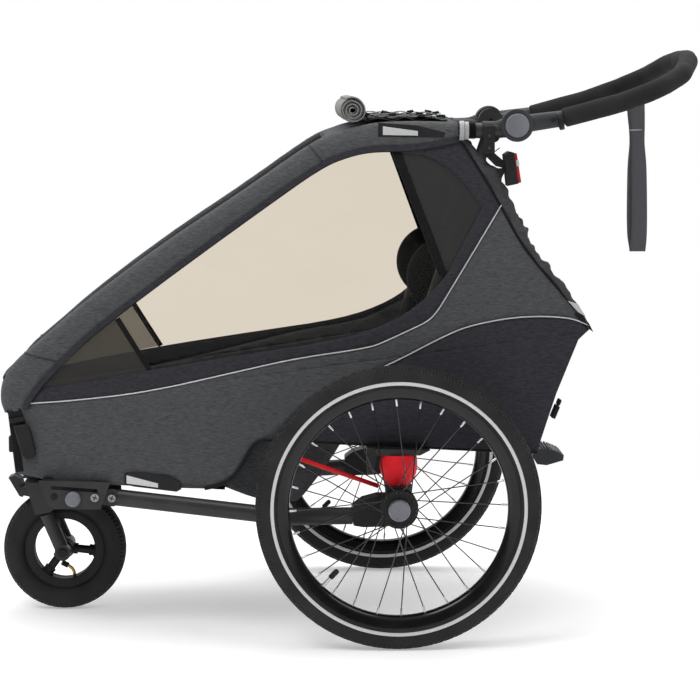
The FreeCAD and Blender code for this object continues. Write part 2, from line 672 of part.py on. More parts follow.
def entrance():
    """Open front between the hood's two side strips, narrower than the cabin."""
    strip = 48
    corners = []
    for distance in (-672, -125):
        corners.append((behind(distance), half_width(distance) - strip))
    right = [Vector(x, y, 446) for x, y in corners]
    left = [Vector(x, -y, 446) for x, y in reversed(corners)]
    return Part.Face(Part.makePolygon(right + left + right[:1])).extrude(Vector(0, 0, 600))


def frame_holes():
    """Room in the rear cover for the posts, the collars and the handle's tubes."""
    post = rod(post_point(0.4), post_point(1), size("hoop_radius") + 1.5)
    reach = rod((behind(96), size("adapter_y"), size("adapter_z")),
                (behind(200), size("adapter_y"), size("adapter_z")), 19)
    return Part.makeCompound([both(post), both(reach)])


def make_cloth():
    outer = cabin_solid(0)
    hollow = cabin_solid(CLOTH)
    wall = outer.cut(hollow)
    notches = [box((behind(-700), -36, 200), (behind(-626), 36, 287)),
               box((behind(215), -26, 300), (behind(300), 26, 356))]
    for side in (-1, 1):
        near, far_side = sorted((side * 140, side * 200))
        notches.append(box((behind(-648), near, 200), (behind(-486), far_side, 292)))
        near, far_side = sorted((side * 225, side * 245))
        notches.append(box((behind(SEAT_POST[0] - 1), near, 300), (behind(SEAT_POST[1] + 1), far_side, 358)))
    body = wall.common(region(BODY_REGION)).cut(Part.makeCompound(notches)).removeSplitter()
    add_node("cabin_body", body)
    hood = wall.common(region(HOOD_REGION)).cut(entrance()).removeSplitter()
    add_node("hood", hood)
    window = wall.common(region(WINDOW_REGION)).cut(region(HOOD_REGION))
    add_node("windows", window.removeSplitter())
    add_node("mesh_panels", wall.common(region(MESH_REGION)).removeSplitter())
    add_node("rear_cover", wall.common(region(REAR_REGION)).cut(frame_holes()).removeSplitter())


# ---------------------------------------------------------------- inside the cabin

def make_floor():
    """Floor board on the cabin's bottom, cut back at the nose for the caster block."""
    corners = [(-600, 128), (-320, 170)]
    right = [Vector(behind(x), y, 200) for x, y in corners]
    left = [Vector(behind(x), -y, 200) for x, y in reversed(corners)]
    plan = Part.Face(Part.makePolygon(right + left + right[:1])).extrude(Vector(0, 0, 200))
    under = [(-600, 282.4), (-429, 270.4), (-320, 270.4)]
    board = slab(under + [(x, z + 5) for x, z in reversed(under)], -200, 200).common(plan)
    add_node("floor_board", board)


def soft_block(name, length, width, height, place, fillet=12):
    """A plain pad: a box with rounded edges."""
    block = doc.addObject("Part::Box", name + "_block")
    block.Length = length
    block.Width = width
    block.Height = height
    doc.recompute()
    pad_shape = doc.addObject("Part::Fillet", name)
    pad_shape.Base = block
    pad_shape.Edges = [(index + 1, fillet, fillet) for index in range(12)]
    pad_shape.Label = name
    pad_shape.Placement = place
    nodes.append(pad_shape)
    return pad_shape


def back_place(along, off, side_shift, depth):
    """Place of a pad on the backrest plane: along the posts, off their front."""
    foot, top = post_point(0), post_point(1)
    up = Vector(top.x - foot.x, 0, top.z - foot.z).normalize()
    front = Vector(-up.z, 0, up.x)
    lean = math.degrees(math.atan2(up.x, up.z))
    corner = Vector(foot.x, 0, foot.z) + up * along + front * (off + depth)
    corner.y = side_shift
    return Placement(corner, Rotation(Vector(0, 1, 0), lean))


def make_seat():
    seat_half = 205
    soft_block("seat_cushion", 212, 2 * seat_half, 50,
               Placement(Vector(behind(-226), -seat_half, 387), Rotation()), 16)
    soft_block("backrest", 25, 430, 323, back_place(72, -58, -215, 25), 10)
    straps = []
    place = back_place(0, -33, 0, 0)
    up = place.Rotation.multVec(Vector(0, 0, 1))
    room = Part.makeBox(100, 500, 500, Vector(-0.3, -250, 0))
    room.Placement = place
    pad_shape = across(behind(92), 641, 70, 178, 208)
    pad_shape = pad_shape.makeFillet(8, [edge for edge in pad_shape.Edges if edge.Curve.TypeId == "Part::GeomCircle"])
    pads = both(pad_shape.cut(room))
    for seat_y in (-100, 100):
        for shift in (-34, 34):
            corner = place.Base + up * 78 + Vector(0, seat_y + shift - 12, 0)
            strap = Part.makeBox(4, 24, 150, Vector(-5, 0, 0))
            strap.Placement = Placement(corner, place.Rotation)
            straps.append(strap)
        buckle = Part.makeBox(12, 46, 50, Vector(-17, 0, 0))
        buckle.Placement = Placement(place.Base + up * 88 + Vector(0, seat_y - 23, 0), place.Rotation)
        straps.append(buckle)
    add_node("headrests", pads)
    add_node("harness", Part.makeCompound(straps[0:2] + straps[3:5] + [straps[2], straps[5]]))


def make_rolled_cover():
    """The front cover rolled up across the roof and the straps that hold it."""
    roll = across(behind(-84), 941, 22, -225, 225)
    layers = box((behind(-76), -200, 921), (behind(90), 200, 931))
    add_node("rolled_cover", roll.fuse(layers).removeSplitter())


# ---------------------------------------------------------------- handlebar

def make_handle_joints():
    """Ratchet housings on the rear frame that hold the handlebar at its angle."""
    x, z = behind(size("joint_x")), size("joint_z")
    disc = across(x, z, size("joint_radius"), 276, 294)
    disc = disc.makeFillet(3, [e for e in disc.Edges if e.Curve.TypeId == "Part::GeomCircle"])
    bore = across(x, z, 4 + size("running_gap"), 0, 400)
    hoop = [node for node in nodes if node.Label == "rear_hoop"][0].Shape
    add_node("handle_joints", both(disc.cut(bore).cut(hoop)))


def bar_line(inset=0):
    side = [(238, -262, 917), (266, -267, 925), (290, -280, 925), (400, -280, 955), (462, -270, 978),
            (508, -215, 1001), (536, -115, 1024), (545, -45, 1030)]
    line = side + [(x, -y, z) for x, y, z in reversed(side)]
    return [(behind(x), y, z) for x, y, z in line]


def make_handlebar():
    """Tilting handlebar: inner hubs beside the housings, a bent tube and its foam grip."""
    x, z = behind(size("joint_x")), size("joint_z")
    hub = across(x, z, 24, 246, 267)
    hub = hub.cut(across(x, z, 4 + size("running_gap"), 0, 400))
    line = bar_line()
    reach = [(x + 18, line[0][1] + 5, z + 2)] + line[1:-1] + [(x + 18, -line[0][1] - 5, z + 2)]
    bar = tube(reach, size("bar_radius"), 60)
    hubs = both(hub)
    bar = bar.cut(Part.makeCompound([across(x, z, 4 + size("running_gap"), -400, 400)]))
    bar = bar.fuse(hubs.Solids).removeSplitter()
    add_node("handlebar", bar)
    foam_line = line[2:-2]
    foam = tube(foam_line, size("grip_radius"), 60).cut(tube(foam_line, size("bar_radius"), 60))
    add_node("foam_grip", foam)


def make_handle_buttons():
    x, z = behind(size("joint_x")), size("joint_z")
    for word, side in SIDES:
        body = add_body("handle_button_" + word, Placement(Vector(x, 0, z), Rotation(
            Vector(0, 0, 1), 0 if side > 0 else 180)))
        section = [("258", "0"), ("258", "4"), ("297", "4"), ("297", "sheet.handle_button_radius"),
                   ("301", "sheet.handle_button_radius"), ("303", "sheet.handle_button_radius - 3"), ("303", "0")]
        sketch = sketch_on(body, "YZ_Plane", "button_section_" + word)
        bound_polygon(sketch, section)
        turn = body.newObject("PartDesign::Revolution", "button_turn_" + word)
        turn.Profile = sketch
        turn.ReferenceAxis = (sketch, ["H_Axis"])
        turn.Angle = 360


def make_wrist_strap():
    """Webbing loop that hangs from the far side of the grip."""
    outer = box((behind(484), 246, 652), (behind(518), 254, 962))
    inner = box((behind(474), 248.5, 682), (behind(528), 251.5, 956))
    strap = outer.cut(inner)
    grip = [node for node in nodes if node.Label == "foam_grip"][0].Shape
    add_node("wrist_strap", strap.cut(grip).Solids[0])


def make_tail_light():
    """Lamp on a stalk, clamped round the left tube behind the roof."""
    y, z = -size("adapter_y"), size("adapter_z")
    clamp = rod((behind(148), y, z), (behind(168), y, z), 16.5)
    stalk = slab([(150, 894), (166, 894), (168, 866), (187, 850), (187, 838), (172, 842), (152, 862)], y - 6, y + 6)
    lamp = slab([(185, 862), (194, 868), (202, 866), (210, 812), (191, 808)], y - 22, y + 22)
    hoop = [node for node in nodes if node.Label == "rear_hoop"][0].Shape
    light = clamp.fuse([stalk, lamp]).cut(hoop)
    add_node("tail_light", max(light.Solids, key=lambda solid: solid.Volume))


# ---------------------------------------------------------------- brake and trim

def make_brake():
    hanger = slab([(228, 357), (246, 357), (284, 302), (284, 290), (268, 290)], -16, 16)
    hanger = hanger.fuse(slab([(222, 352), (246, 352), (246, 362), (222, 362)], -16, 16))
    rear_bar = across(behind(size("rail_rear_x") - 16), size("rail_z"), size("tube_radius"), -60, 60)
    pin = across(behind(275), 298, 4, -30, 30)
    add_node("brake_hanger", hanger.cut(rear_bar).fuse(pin).removeSplitter())
    lever = slab([(266, 306), (283, 306), (306, 303), (324, 294), (323, 284), (292, 275), (274, 277),
                  (266, 290)], -48, 48)
    room = box((behind(255), -17, 250), (behind(290), 17, 330))
    bore = across(behind(275), 298, 4 + size("running_gap"), -40, 40)
    add_node("brake_pedal", lever.cut(room).cut(bore).removeSplitter())


def make_trim():
    """Strap buckles and sewn-on side tags, each its own solid."""
    pieces = []
    for x, z, wide, tall in ((-487, 266, 100, 18),):
        y = half_width(x)
        slope = math.degrees(math.atan2(size("wide_half") - size("nose_half"), size("wide_x") - size("nose_x")))
        tag = Part.makeBox(wide, 2.5, tall)
        tag.Placement = Placement(Vector(behind(x), y + 1.5, z), Rotation(Vector(0, 0, 1), slope))
        pieces.append(both(tag))
    front = box((behind(-702), 120, 330), (behind(-699), 145, 395))
    rear = slab([(262, 380), (270, 380), (282, 410), (274, 410)], 130, 160)
    add_node("tags_and_buckles", Part.makeCompound(pieces + [both(front), both(rear)]))


make_wheels()
make_arms()
make_carriers()
make_springs()
make_lower_frame()
make_brackets()
make_bolts()
make_drawbar_lock()
make_receiver()
make_front_hoop()
make_rear_hoop()
make_hinges()
make_roof_clips()
make_caster()
make_cloth()
make_floor()
make_seat()
make_rolled_cover()
make_handle_joints()
make_handlebar()
make_handle_buttons()
make_wrist_strap()
make_tail_light()
make_brake()
make_trim()


def check_and_write():
    doc.recompute()
    for item in doc.Objects:
        if "Invalid" in item.State or "Error" in item.State:
            raise RuntimeError("%s is %s" % (item.Name, item.State))
    whole = FreeCAD.BoundBox()
    for node in nodes:
        shape = node.Shape
        if shape.isNull() or not shape.isValid() or not shape.Solids:
            raise RuntimeError("%s has no valid solid" % node.Label)
        whole.add(shape.BoundBox)
    os.makedirs("parts", exist_ok=True)
    for node in nodes:
        node.Shape.exportStep("parts/%s.step" % node.Label)
        box_now = node.Shape.BoundBox
        print("%-22s solids %3d volume %9.0f  x %6.0f %6.0f  y %6.0f %6.0f  z %6.0f %6.0f" % (
            node.Label, len(node.Shape.Solids), node.Shape.Volume, box_now.XMin, box_now.XMax,
            box_now.YMin, box_now.YMax, box_now.ZMin, box_now.ZMax))
    print(len(nodes), "nodes", whole)


check_and_write()
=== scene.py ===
"""Child bicycle trailer in stroller trim: the looks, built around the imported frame.

Lengths in lists and calls below are millimetres unless a line says otherwise, and every mesh
is written in metres. Side outlines are lists of (distance behind the rear axle, height).
"""
import math
import random

import bmesh
import bpy
import numpy as np
from mathutils import Matrix, Vector, noise
from mathutils.geometry import delaunay_2d_cdt


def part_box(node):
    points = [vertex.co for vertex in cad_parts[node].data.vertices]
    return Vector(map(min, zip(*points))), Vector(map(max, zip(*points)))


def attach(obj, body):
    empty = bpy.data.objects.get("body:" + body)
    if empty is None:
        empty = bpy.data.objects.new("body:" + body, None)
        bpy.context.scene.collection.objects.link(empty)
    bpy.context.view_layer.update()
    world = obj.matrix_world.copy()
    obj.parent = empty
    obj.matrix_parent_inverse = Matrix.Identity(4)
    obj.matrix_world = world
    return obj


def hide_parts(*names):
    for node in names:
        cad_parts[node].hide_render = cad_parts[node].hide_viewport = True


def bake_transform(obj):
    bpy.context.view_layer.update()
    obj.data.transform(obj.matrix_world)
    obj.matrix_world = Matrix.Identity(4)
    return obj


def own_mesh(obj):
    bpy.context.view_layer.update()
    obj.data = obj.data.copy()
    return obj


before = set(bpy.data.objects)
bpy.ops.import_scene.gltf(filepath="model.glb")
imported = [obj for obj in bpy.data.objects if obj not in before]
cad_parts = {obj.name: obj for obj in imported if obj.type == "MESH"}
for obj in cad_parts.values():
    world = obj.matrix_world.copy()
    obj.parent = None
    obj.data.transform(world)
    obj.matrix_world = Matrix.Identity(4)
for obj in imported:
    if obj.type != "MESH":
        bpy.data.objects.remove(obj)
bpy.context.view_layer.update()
MM = 0.001
SIDES = (("left", -1), ("right", 1))


def middle(node):
    low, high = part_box(node)
    return (low + high) / 2


AXLE_X = middle("hub_left").x
WHEEL_Z = middle("hub_left").z
TRACK = middle("hub_right").y
WIDE_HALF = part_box("cabin_body")[1].y / MM
NOSE_HALF, NOSE_D, WIDE_D = 166, -710, 157


# ---------------------------------------------------------------- camera and stage

def make_camera():
    data = bpy.data.cameras.new("camera")
    data.lens = 124.8
    data.sensor_width = 36
    camera = bpy.data.objects.new("camera", data)
    camera.location = (AXLE_X - 0.2, -4.528, 0.988)
    camera.rotation_euler = (math.radians(90 - 6.30), 0, math.radians(-1.58))
    bpy.context.scene.collection.objects.link(camera)
    bpy.context.scene.camera = camera


def make_light(name, place, target, width, power, colour=(1, 1, 1)):
    data = bpy.data.lights.new(name, "AREA")
    data.shape = "DISK"
    data.size = width
    data.energy = power
    data.color = colour
    lamp = bpy.data.objects.new(name, data)
    lamp.location = place
    lamp.rotation_euler = (Vector(target) - Vector(place)).to_track_quat("-Z", "Y").to_euler()
    bpy.context.scene.collection.objects.link(lamp)


def make_world():
    """White behind the trailer, dimmer on the camera's side, brighter overhead."""
    world = bpy.data.worlds.new("studio")
    bpy.context.scene.world = world
    world.use_nodes = True
    tree = world.node_tree
    place = tree.nodes.new("ShaderNodeTexCoord")
    split = tree.nodes.new("ShaderNodeSeparateXYZ")
    tree.links.new(place.outputs["Generated"], split.inputs[0])
    depth = tree.nodes.new("ShaderNodeMapRange")
    depth.inputs["From Min"].default_value = -0.25
    depth.inputs["From Max"].default_value = 0.35
    depth.inputs["To Min"].default_value = 0.12
    depth.inputs["To Max"].default_value = 1.0
    tree.links.new(split.outputs["Y"], depth.inputs["Value"])
    lift = tree.nodes.new("ShaderNodeMapRange")
    lift.inputs["From Min"].default_value = 0.3
    lift.inputs["From Max"].default_value = 1.0
    lift.inputs["To Min"].default_value = 0.0
    lift.inputs["To Max"].default_value = 0.55
    tree.links.new(split.outputs["Z"], lift.inputs["Value"])
    total = tree.nodes.new("ShaderNodeMath")
    total.operation = "ADD"
    tree.links.new(depth.outputs[0], total.inputs[0])
    tree.links.new(lift.outputs[0], total.inputs[1])
    background = tree.nodes["Background"]
    tree.links.new(total.outputs[0], background.inputs["Strength"])
    background.inputs["Color"].default_value = (1, 1, 1, 1)


def floor_material():
    """Pale floor that fades to plain white away from the trailer."""
    paint = new_material("floor_paint")
    graph = Graph(paint)
    set_inputs(paint, {"Base Color": (0.8, 0.8, 0.8, 1), "Roughness": 0.85, "Specular IOR Level": 0.1,
                       "Emission Color": (1, 1, 1, 1), "Emission Strength": 0.34})
    distance = graph.node("ShaderNodeVectorMath", operation="LENGTH")
    graph.link(graph.place, distance.inputs[0])
    fade = graph.node("ShaderNodeMapRange")
    fade.inputs["From Min"].default_value = 0.75
    fade.inputs["From Max"].default_value = 1.7
    graph.link(distance.outputs["Value"], fade.inputs["Value"])
    white = graph.node("ShaderNodeEmission")
    mixed = graph.node("ShaderNodeMixShader")
    graph.link(fade.outputs[0], mixed.inputs[0])
    graph.link(graph.shader.outputs[0], mixed.inputs[1])
    graph.link(white.outputs[0], mixed.inputs[2])
    graph.link(mixed.outputs[0], graph.tree.nodes["Material Output"].inputs["Surface"])
    return paint


def make_stage():
    scene = bpy.context.scene
    scene.view_settings.view_transform = "Standard"
    make_world()
    reach = 14
    mesh = bpy.data.meshes.new("floor")
    corners = [(-reach, -reach, 0), (reach, -reach, 0), (reach, reach, 0), (-reach, reach, 0)]
    mesh.from_pydata(corners, [], [(0, 1, 2, 3)])
    floor = bpy.data.objects.new("floor", mesh)
    scene.collection.objects.link(floor)
    mesh.materials.append(floor_material())
    target = (0, 0, 0.45)
    make_light("key", (-1.8, -2.2, 3.6), target, 2.0, 62)
    make_light("rim", (1.6, -1.6, 2.6), target, 1.6, 16)
    make_light("top", (0.0, 0.6, 3.4), target, 2.2, 34)


# ---------------------------------------------------------------- materials

def srgb(red, green, blue):
    """Scene-linear colour from a display colour of 0 to 255."""
    linear = []
    for value in (red, green, blue):
        part = value / 255
        linear.append(part / 12.92 if part <= 0.04045 else ((part + 0.055) / 1.055) ** 2.4)
    return (*linear, 1)


def new_material(name):
    paint = bpy.data.materials.new(name)
    paint.use_nodes = True
    return paint


def set_inputs(paint, values):
    shader = paint.node_tree.nodes["Principled BSDF"]
    for key, value in values.items():
        shader.inputs[key].default_value = value
    return shader


class Graph:
    """Short calls for building a material's nodes."""

    def __init__(self, paint):
        self.tree = paint.node_tree
        self.shader = self.tree.nodes["Principled BSDF"]
        self.place = self.node("ShaderNodeTexCoord").outputs["Object"]

    def node(self, kind, **settings):
        item = self.tree.nodes.new(kind)
        for key, value in settings.items():
            setattr(item, key, value)
        return item

    def link(self, source, target):
        self.tree.links.new(source, target)

    def stretched(self, scale):
        mapping = self.node("ShaderNodeMapping")
        mapping.inputs["Scale"].default_value = scale
        self.link(self.place, mapping.inputs["Vector"])
        return mapping.outputs["Vector"]

    def noise(self, scale, detail=2, stretch=None, rough=0.5):
        item = self.node("ShaderNodeTexNoise")
        item.inputs["Scale"].default_value = scale
        item.inputs["Detail"].default_value = detail
        item.inputs["Roughness"].default_value = rough
        self.link(self.stretched(stretch) if stretch else self.place, item.inputs["Vector"])
        return item.outputs["Fac"]

    def wave(self, scale, direction="X", distortion=0, stretch=None):
        item = self.node("ShaderNodeTexWave", bands_direction=direction)
        item.inputs["Scale"].default_value = scale
        item.inputs["Distortion"].default_value = distortion
        self.link(self.stretched(stretch) if stretch else self.place, item.inputs["Vector"])
        return item.outputs["Fac"]

    def ramp(self, source, stops):
        item = self.node("ShaderNodeValToRGB")
        elements = item.color_ramp.elements
        for index, (position, colour) in enumerate(stops):
            element = elements[index] if index < len(elements) else elements.new(position)
            element.position = position
            element.color = colour
        self.link(source, item.inputs["Fac"])
        return item.outputs["Color"]

    def math(self, kind, first, second):
        item = self.node("ShaderNodeMath", operation=kind)
        for slot, value in enumerate((first, second)):
            if isinstance(value, (int, float)):
                item.inputs[slot].default_value = value
            else:
                self.link(value, item.inputs[slot])
        return item.outputs[0]

    def mix(self, share, first, second):
        item = self.node("ShaderNodeMix", data_type="RGBA")
        if isinstance(share, (int, float)):
            item.inputs["Factor"].default_value = share
        else:
            self.link(share, item.inputs["Factor"])
        for socket, value in ((item.inputs[6], first), (item.inputs[7], second)):
            if isinstance(value, tuple):
                socket.default_value = value
            else:
                self.link(value, socket)
        return item.outputs[2]

    def bump(self, height, depth, strength=0.6):
        """Bump of a real depth in metres."""
        item = self.node("ShaderNodeBump")
        item.inputs["Strength"].default_value = strength
        item.inputs["Distance"].default_value = depth
        self.link(height, item.inputs["Height"])
        self.link(item.outputs["Normal"], self.shader.inputs["Normal"])


def melange(name, dark, light, depth=0.0004, broad=0.22):
    """Cloth woven from two shades of yarn that run along the cabin."""
    paint = new_material(name)
    graph = Graph(paint)
    streaks = graph.noise(1, 3, stretch=(95, 95, 520))
    fine = graph.noise(1, 2, stretch=(420, 420, 900))
    both = graph.math("ADD", graph.math("MULTIPLY", streaks, 0.6), graph.math("MULTIPLY", fine, 0.4))
    wide = graph.noise(5, 2)
    colour = graph.ramp(both, [(0.34, dark), (0.66, light)])
    faded = graph.mix(graph.math("MULTIPLY", wide, broad), colour, dark)
    graph.link(faded, graph.shader.inputs["Base Color"])
    weft = graph.wave(1, "Z", 0.6, stretch=(1, 1, 230))
    warp = graph.wave(1, "X", 0.6, stretch=(230, 230, 1))
    weave = graph.math("ADD", graph.math("MULTIPLY", weft, warp), graph.math("MULTIPLY", fine, 0.8))
    graph.bump(weave, depth, 0.35)
    set_inputs(paint, {"Roughness": 0.9, "Sheen Weight": 0.08, "Sheen Roughness": 0.5,
                       "Specular IOR Level": 0.08})
    return paint


def webbing(name, colour, pitch=420):
    """Ribbed strap."""
    paint = new_material(name)
    graph = Graph(paint)
    ribs = graph.wave(1, "Z", 0.2, stretch=(1, 1, pitch))
    threads = graph.noise(900, 2)
    height = graph.math("ADD", ribs, graph.math("MULTIPLY", threads, 0.5))
    lighter = tuple(min(1, part * 1.7) for part in colour[:3]) + (1,)
    graph.link(graph.ramp(height, [(0.3, colour), (1.0, lighter)]), graph.shader.inputs["Base Color"])
    graph.bump(height, 0.0006)
    set_inputs(paint, {"Roughness": 0.75, "Sheen Weight": 0.05, "Specular IOR Level": 0.15})
    return paint


def moulded(name, colour, rough=0.45, grain=0.00008, coat=0.0, metal=0.0, scale=900):
    """Plastic, paint or rubber with a fine grain and a slightly uneven finish."""
    paint = new_material(name)
    graph = Graph(paint)
    fine = graph.noise(scale, 3)
    wide = graph.noise(22, 3)
    lighter = tuple(min(1, part * 1.35 + 0.004) for part in colour[:3]) + (1,)
    graph.link(graph.ramp(wide, [(0.35, colour), (0.75, lighter)]), graph.shader.inputs["Base Color"])
    uneven = graph.math("ADD", graph.math("MULTIPLY", wide, 0.16), rough - 0.08)
    graph.link(uneven, graph.shader.inputs["Roughness"])
    graph.bump(fine, grain)
    level = 0.5 if metal or coat > 0.4 else 0.22
    set_inputs(paint, {"Metallic": metal, "Coat Weight": coat, "Coat Roughness": 0.12,
                       "Specular IOR Level": level})
    return paint


def tyre_rubber(name, colour):
    paint = moulded(name, colour, rough=0.62, grain=0.0002, scale=600)
    shader = paint.node_tree.nodes["Principled BSDF"]
    shader.inputs["Specular IOR Level"].default_value = 0.16
    return paint


def see_through(name, tint, gloss_share, rough, veil=None, veil_share=0.0, grid=0):
    """Thin sheet that light passes through: clear film, or cloth with open mesh."""
    paint = new_material(name)
    graph = Graph(paint)
    tree = graph.tree
    output = tree.nodes["Material Output"]
    clear = graph.node("ShaderNodeBsdfTransparent")
    clear.inputs["Color"].default_value = tint
    set_inputs(paint, {"Base Color": veil or (0.02, 0.02, 0.02, 1), "Roughness": rough})
    gloss = graph.node("ShaderNodeBsdfGlossy")
    gloss.inputs["Roughness"].default_value = rough
    shine = graph.node("ShaderNodeMixShader")
    fresnel = graph.node("ShaderNodeFresnel")
    fresnel.inputs["IOR"].default_value = 1.3
    graph.link(graph.math("MULTIPLY", fresnel.outputs[0], gloss_share), shine.inputs[0])
    graph.link(clear.outputs[0], shine.inputs[1])
    graph.link(gloss.outputs[0], shine.inputs[2])
    waves = graph.noise(14, 2)
    bump = graph.node("ShaderNodeBump")
    bump.inputs["Distance"].default_value = 0.002
    graph.link(waves, bump.inputs["Height"])
    graph.link(bump.outputs[0], gloss.inputs["Normal"])
    cover = graph.node("ShaderNodeMixShader")
    if grid:
        lines = graph.math("MAXIMUM", graph.wave(1, "X", 0, (grid, grid, 1)),
                           graph.wave(1, "Z", 0, (1, 1, grid)))
        share = graph.math("ADD", graph.math("MULTIPLY", lines, 0.35), veil_share - 0.2)
        graph.link(share, cover.inputs[0])
    else:
        cover.inputs[0].default_value = veil_share
    graph.link(shine.outputs[0], cover.inputs[1])
    graph.link(graph.shader.outputs[0], cover.inputs[2])
    graph.link(cover.outputs[0], output.inputs["Surface"])
    return paint


def reflective(name, colour, cells=600):
    """Beaded reflective tape."""
    paint = new_material(name)
    graph = Graph(paint)
    beads = graph.node("ShaderNodeTexVoronoi")
    beads.inputs["Scale"].default_value = cells
    graph.link(graph.place, beads.inputs["Vector"])
    shade = tuple(part * 0.8 for part in colour[:3]) + (1,)
    graph.link(graph.ramp(beads.outputs["Distance"], [(0.0, colour), (0.6, shade)]),
               graph.shader.inputs["Base Color"])
    graph.bump(beads.outputs["Distance"], 0.0002)
    set_inputs(paint, {"Roughness": 0.35, "Metallic": 0.25})
    return paint


def make_materials():
    return {
        "hood_cloth": melange("hood_cloth", srgb(62, 63, 65), srgb(92, 94, 96)),
        "body_cloth": melange("body_cloth", srgb(62, 63, 65), srgb(90, 91, 94)),
        "trim_cloth": melange("trim_cloth", srgb(42, 42, 46), srgb(62, 61, 68)),
        "black_cloth": melange("black_cloth", srgb(18, 18, 18), srgb(32, 32, 33)),
        "cover_cloth": melange("cover_cloth", srgb(58, 58, 60), srgb(84, 84, 86), 0.0005, 0.6),
        "roll_cloth": melange("roll_cloth", srgb(128, 128, 127), srgb(148, 148, 146), 0.0003, 0.5),
        "tie_webbing": webbing("tie_webbing", srgb(88, 88, 88), 700),
        "seat_cloth": melange("seat_cloth", srgb(20, 20, 21), srgb(26, 26, 27), 0.0001),
        "webbing": webbing("webbing", srgb(22, 22, 23)),
        "grey_webbing": webbing("grey_webbing", srgb(80, 80, 84), 900),
        "film": see_through("window_film", (0.845, 0.805, 0.738, 1), 0.6, 0.08),
        "vent": see_through("vent_mesh", (0.905, 0.862, 0.79, 1), 0.3, 0.5, srgb(36, 35, 31), 0.72, 1100),
        "mesh": see_through("mesh_cloth", (0.9, 0.9, 0.9, 1), 0.2, 0.6, srgb(27, 25, 24), 0.95, 900),
        "rubber": tyre_rubber("tyre_rubber", srgb(36, 36, 36)),
        "black_paint": moulded("frame_aluminium", srgb(44, 44, 45), 0.42, coat=0.1),
        "gloss_black": moulded("rim_black", srgb(10, 10, 10), 0.2, 0.00002, coat=0.3),
        "black_plastic": moulded("black_plastic", srgb(26, 26, 27), 0.5, 0.00015),
        "dark_plastic": moulded("dark_plastic", srgb(48, 49, 51), 0.48, 0.0001),
        "grey_plastic": moulded("grey_plastic", srgb(104, 106, 112), 0.42, 0.00008),
        "silver_plastic": moulded("silver_plastic", srgb(150, 152, 155), 0.34, 0.00006),
        "steel": moulded("steel", srgb(196, 197, 200), 0.28, 0.00003, metal=1.0),
        "bolt_steel": moulded("bolt_steel", srgb(140, 141, 144), 0.36, 0.00005, metal=1.0),
        "spoke_steel": moulded("spoke_steel", srgb(62, 62, 64), 0.3, 0.00002, metal=1.0),
        "brass": moulded("brass", srgb(205, 168, 96), 0.3, 0.00003, metal=1.0),
        "red_rubber": moulded("red_elastomer", srgb(222, 26, 40), 0.5, 0.0001),
        "red_steel": moulded("red_steel", srgb(214, 14, 26), 0.35, 0.00004, coat=0.3),
        "foam": moulded("foam", srgb(34, 34, 34), 0.9, 0.0005, scale=1500),
        "tape": reflective("reflective_tape", srgb(205, 205, 205)),
        "bright_tape": reflective("bright_tape", srgb(216, 216, 216)),
        "tyre_ring": reflective("tyre_ring", srgb(222, 222, 222), 900),
        "board": moulded("board", srgb(30, 30, 30), 0.7),
        "lens": moulded("lamp_lens", srgb(150, 6, 14), 0.12, 0.00002, coat=1.0),
    }


# ---------------------------------------------------------------- mesh helpers

def clamp(value, low=0.0, high=1.0):
    return max(low, min(high, value))


def half_width(distance):
    """Half width of the cabin's cloth."""
    part = clamp((distance - NOSE_D) / (WIDE_D - NOSE_D))
    return NOSE_HALF + part * (WIDE_HALF - NOSE_HALF)


def ripple(distance, height, scale, seed=0.0):
    """Smooth random relief from -1 to 1 over the side of the cabin."""
    return noise.noise(Vector((distance / scale, height / scale, seed)))


def piece(name, verts, faces, paint, body=None, slot=None, sharp=40, flat=False):
    """A mesh object from millimetre points; it rides on the body if one is named."""
    mesh = bpy.data.meshes.new(name)
    mesh.from_pydata([tuple(part * MM for part in vert) for vert in verts], [], faces)
    mesh.update()
    if not flat:
        mesh.shade_smooth()
        mesh.set_sharp_from_angle(angle=math.radians(sharp))
    for item in paint if isinstance(paint, (list, tuple)) else [paint]:
        mesh.materials.append(PAINT[item])
    thing = bpy.data.objects.new(name, mesh)
    bpy.context.scene.collection.objects.link(thing)
    if body:
        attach(thing, body)
    return thing


def thicken(thing, thickness, offset=-1):
    change = thing.modifiers.new("thickness", "SOLIDIFY")
    change.thickness = thickness * MM
    change.offset = offset
    change.use_even_offset = False
    return thing


def soften(thing, width, segments=2):
    change = thing.modifiers.new("soft_edges", "BEVEL")
    change.width = width * MM
    change.segments = segments
    change.limit_method = "ANGLE"
    change.angle_limit = math.radians(35)
    change.harden_normals = False
    return thing


def bake_modifiers(thing):
    """Turns the modified shape into the piece's own mesh."""
    graph = bpy.context.evaluated_depsgraph_get()
    mesh = bpy.data.meshes.new_from_object(thing.evaluated_get(graph))
    thing.modifiers.clear()
    thing.data = mesh
    return thing


def rounded(points, times=3):
    """Corner cutting that keeps both ends of an open line."""
    points = [Vector(point) for point in points]
    for _ in range(times):
        line = [points[0]]
        for first, second in zip(points, points[1:]):
            line.append(first.lerp(second, 0.25))
            line.append(first.lerp(second, 0.75))
        line.append(points[-1])
        points = line
    return points


def smooth(outline, times=2):
    """A side outline with its corners cut."""
    return [(p.x, p.y) for p in rounded([(x, y, 0) for x, y in outline], times)]


def even(outline, count):
    """A side outline as count points at equal steps."""
    return [(p.x, p.y) for p in spaced([(x, y, 0) for x, y in outline], count)]


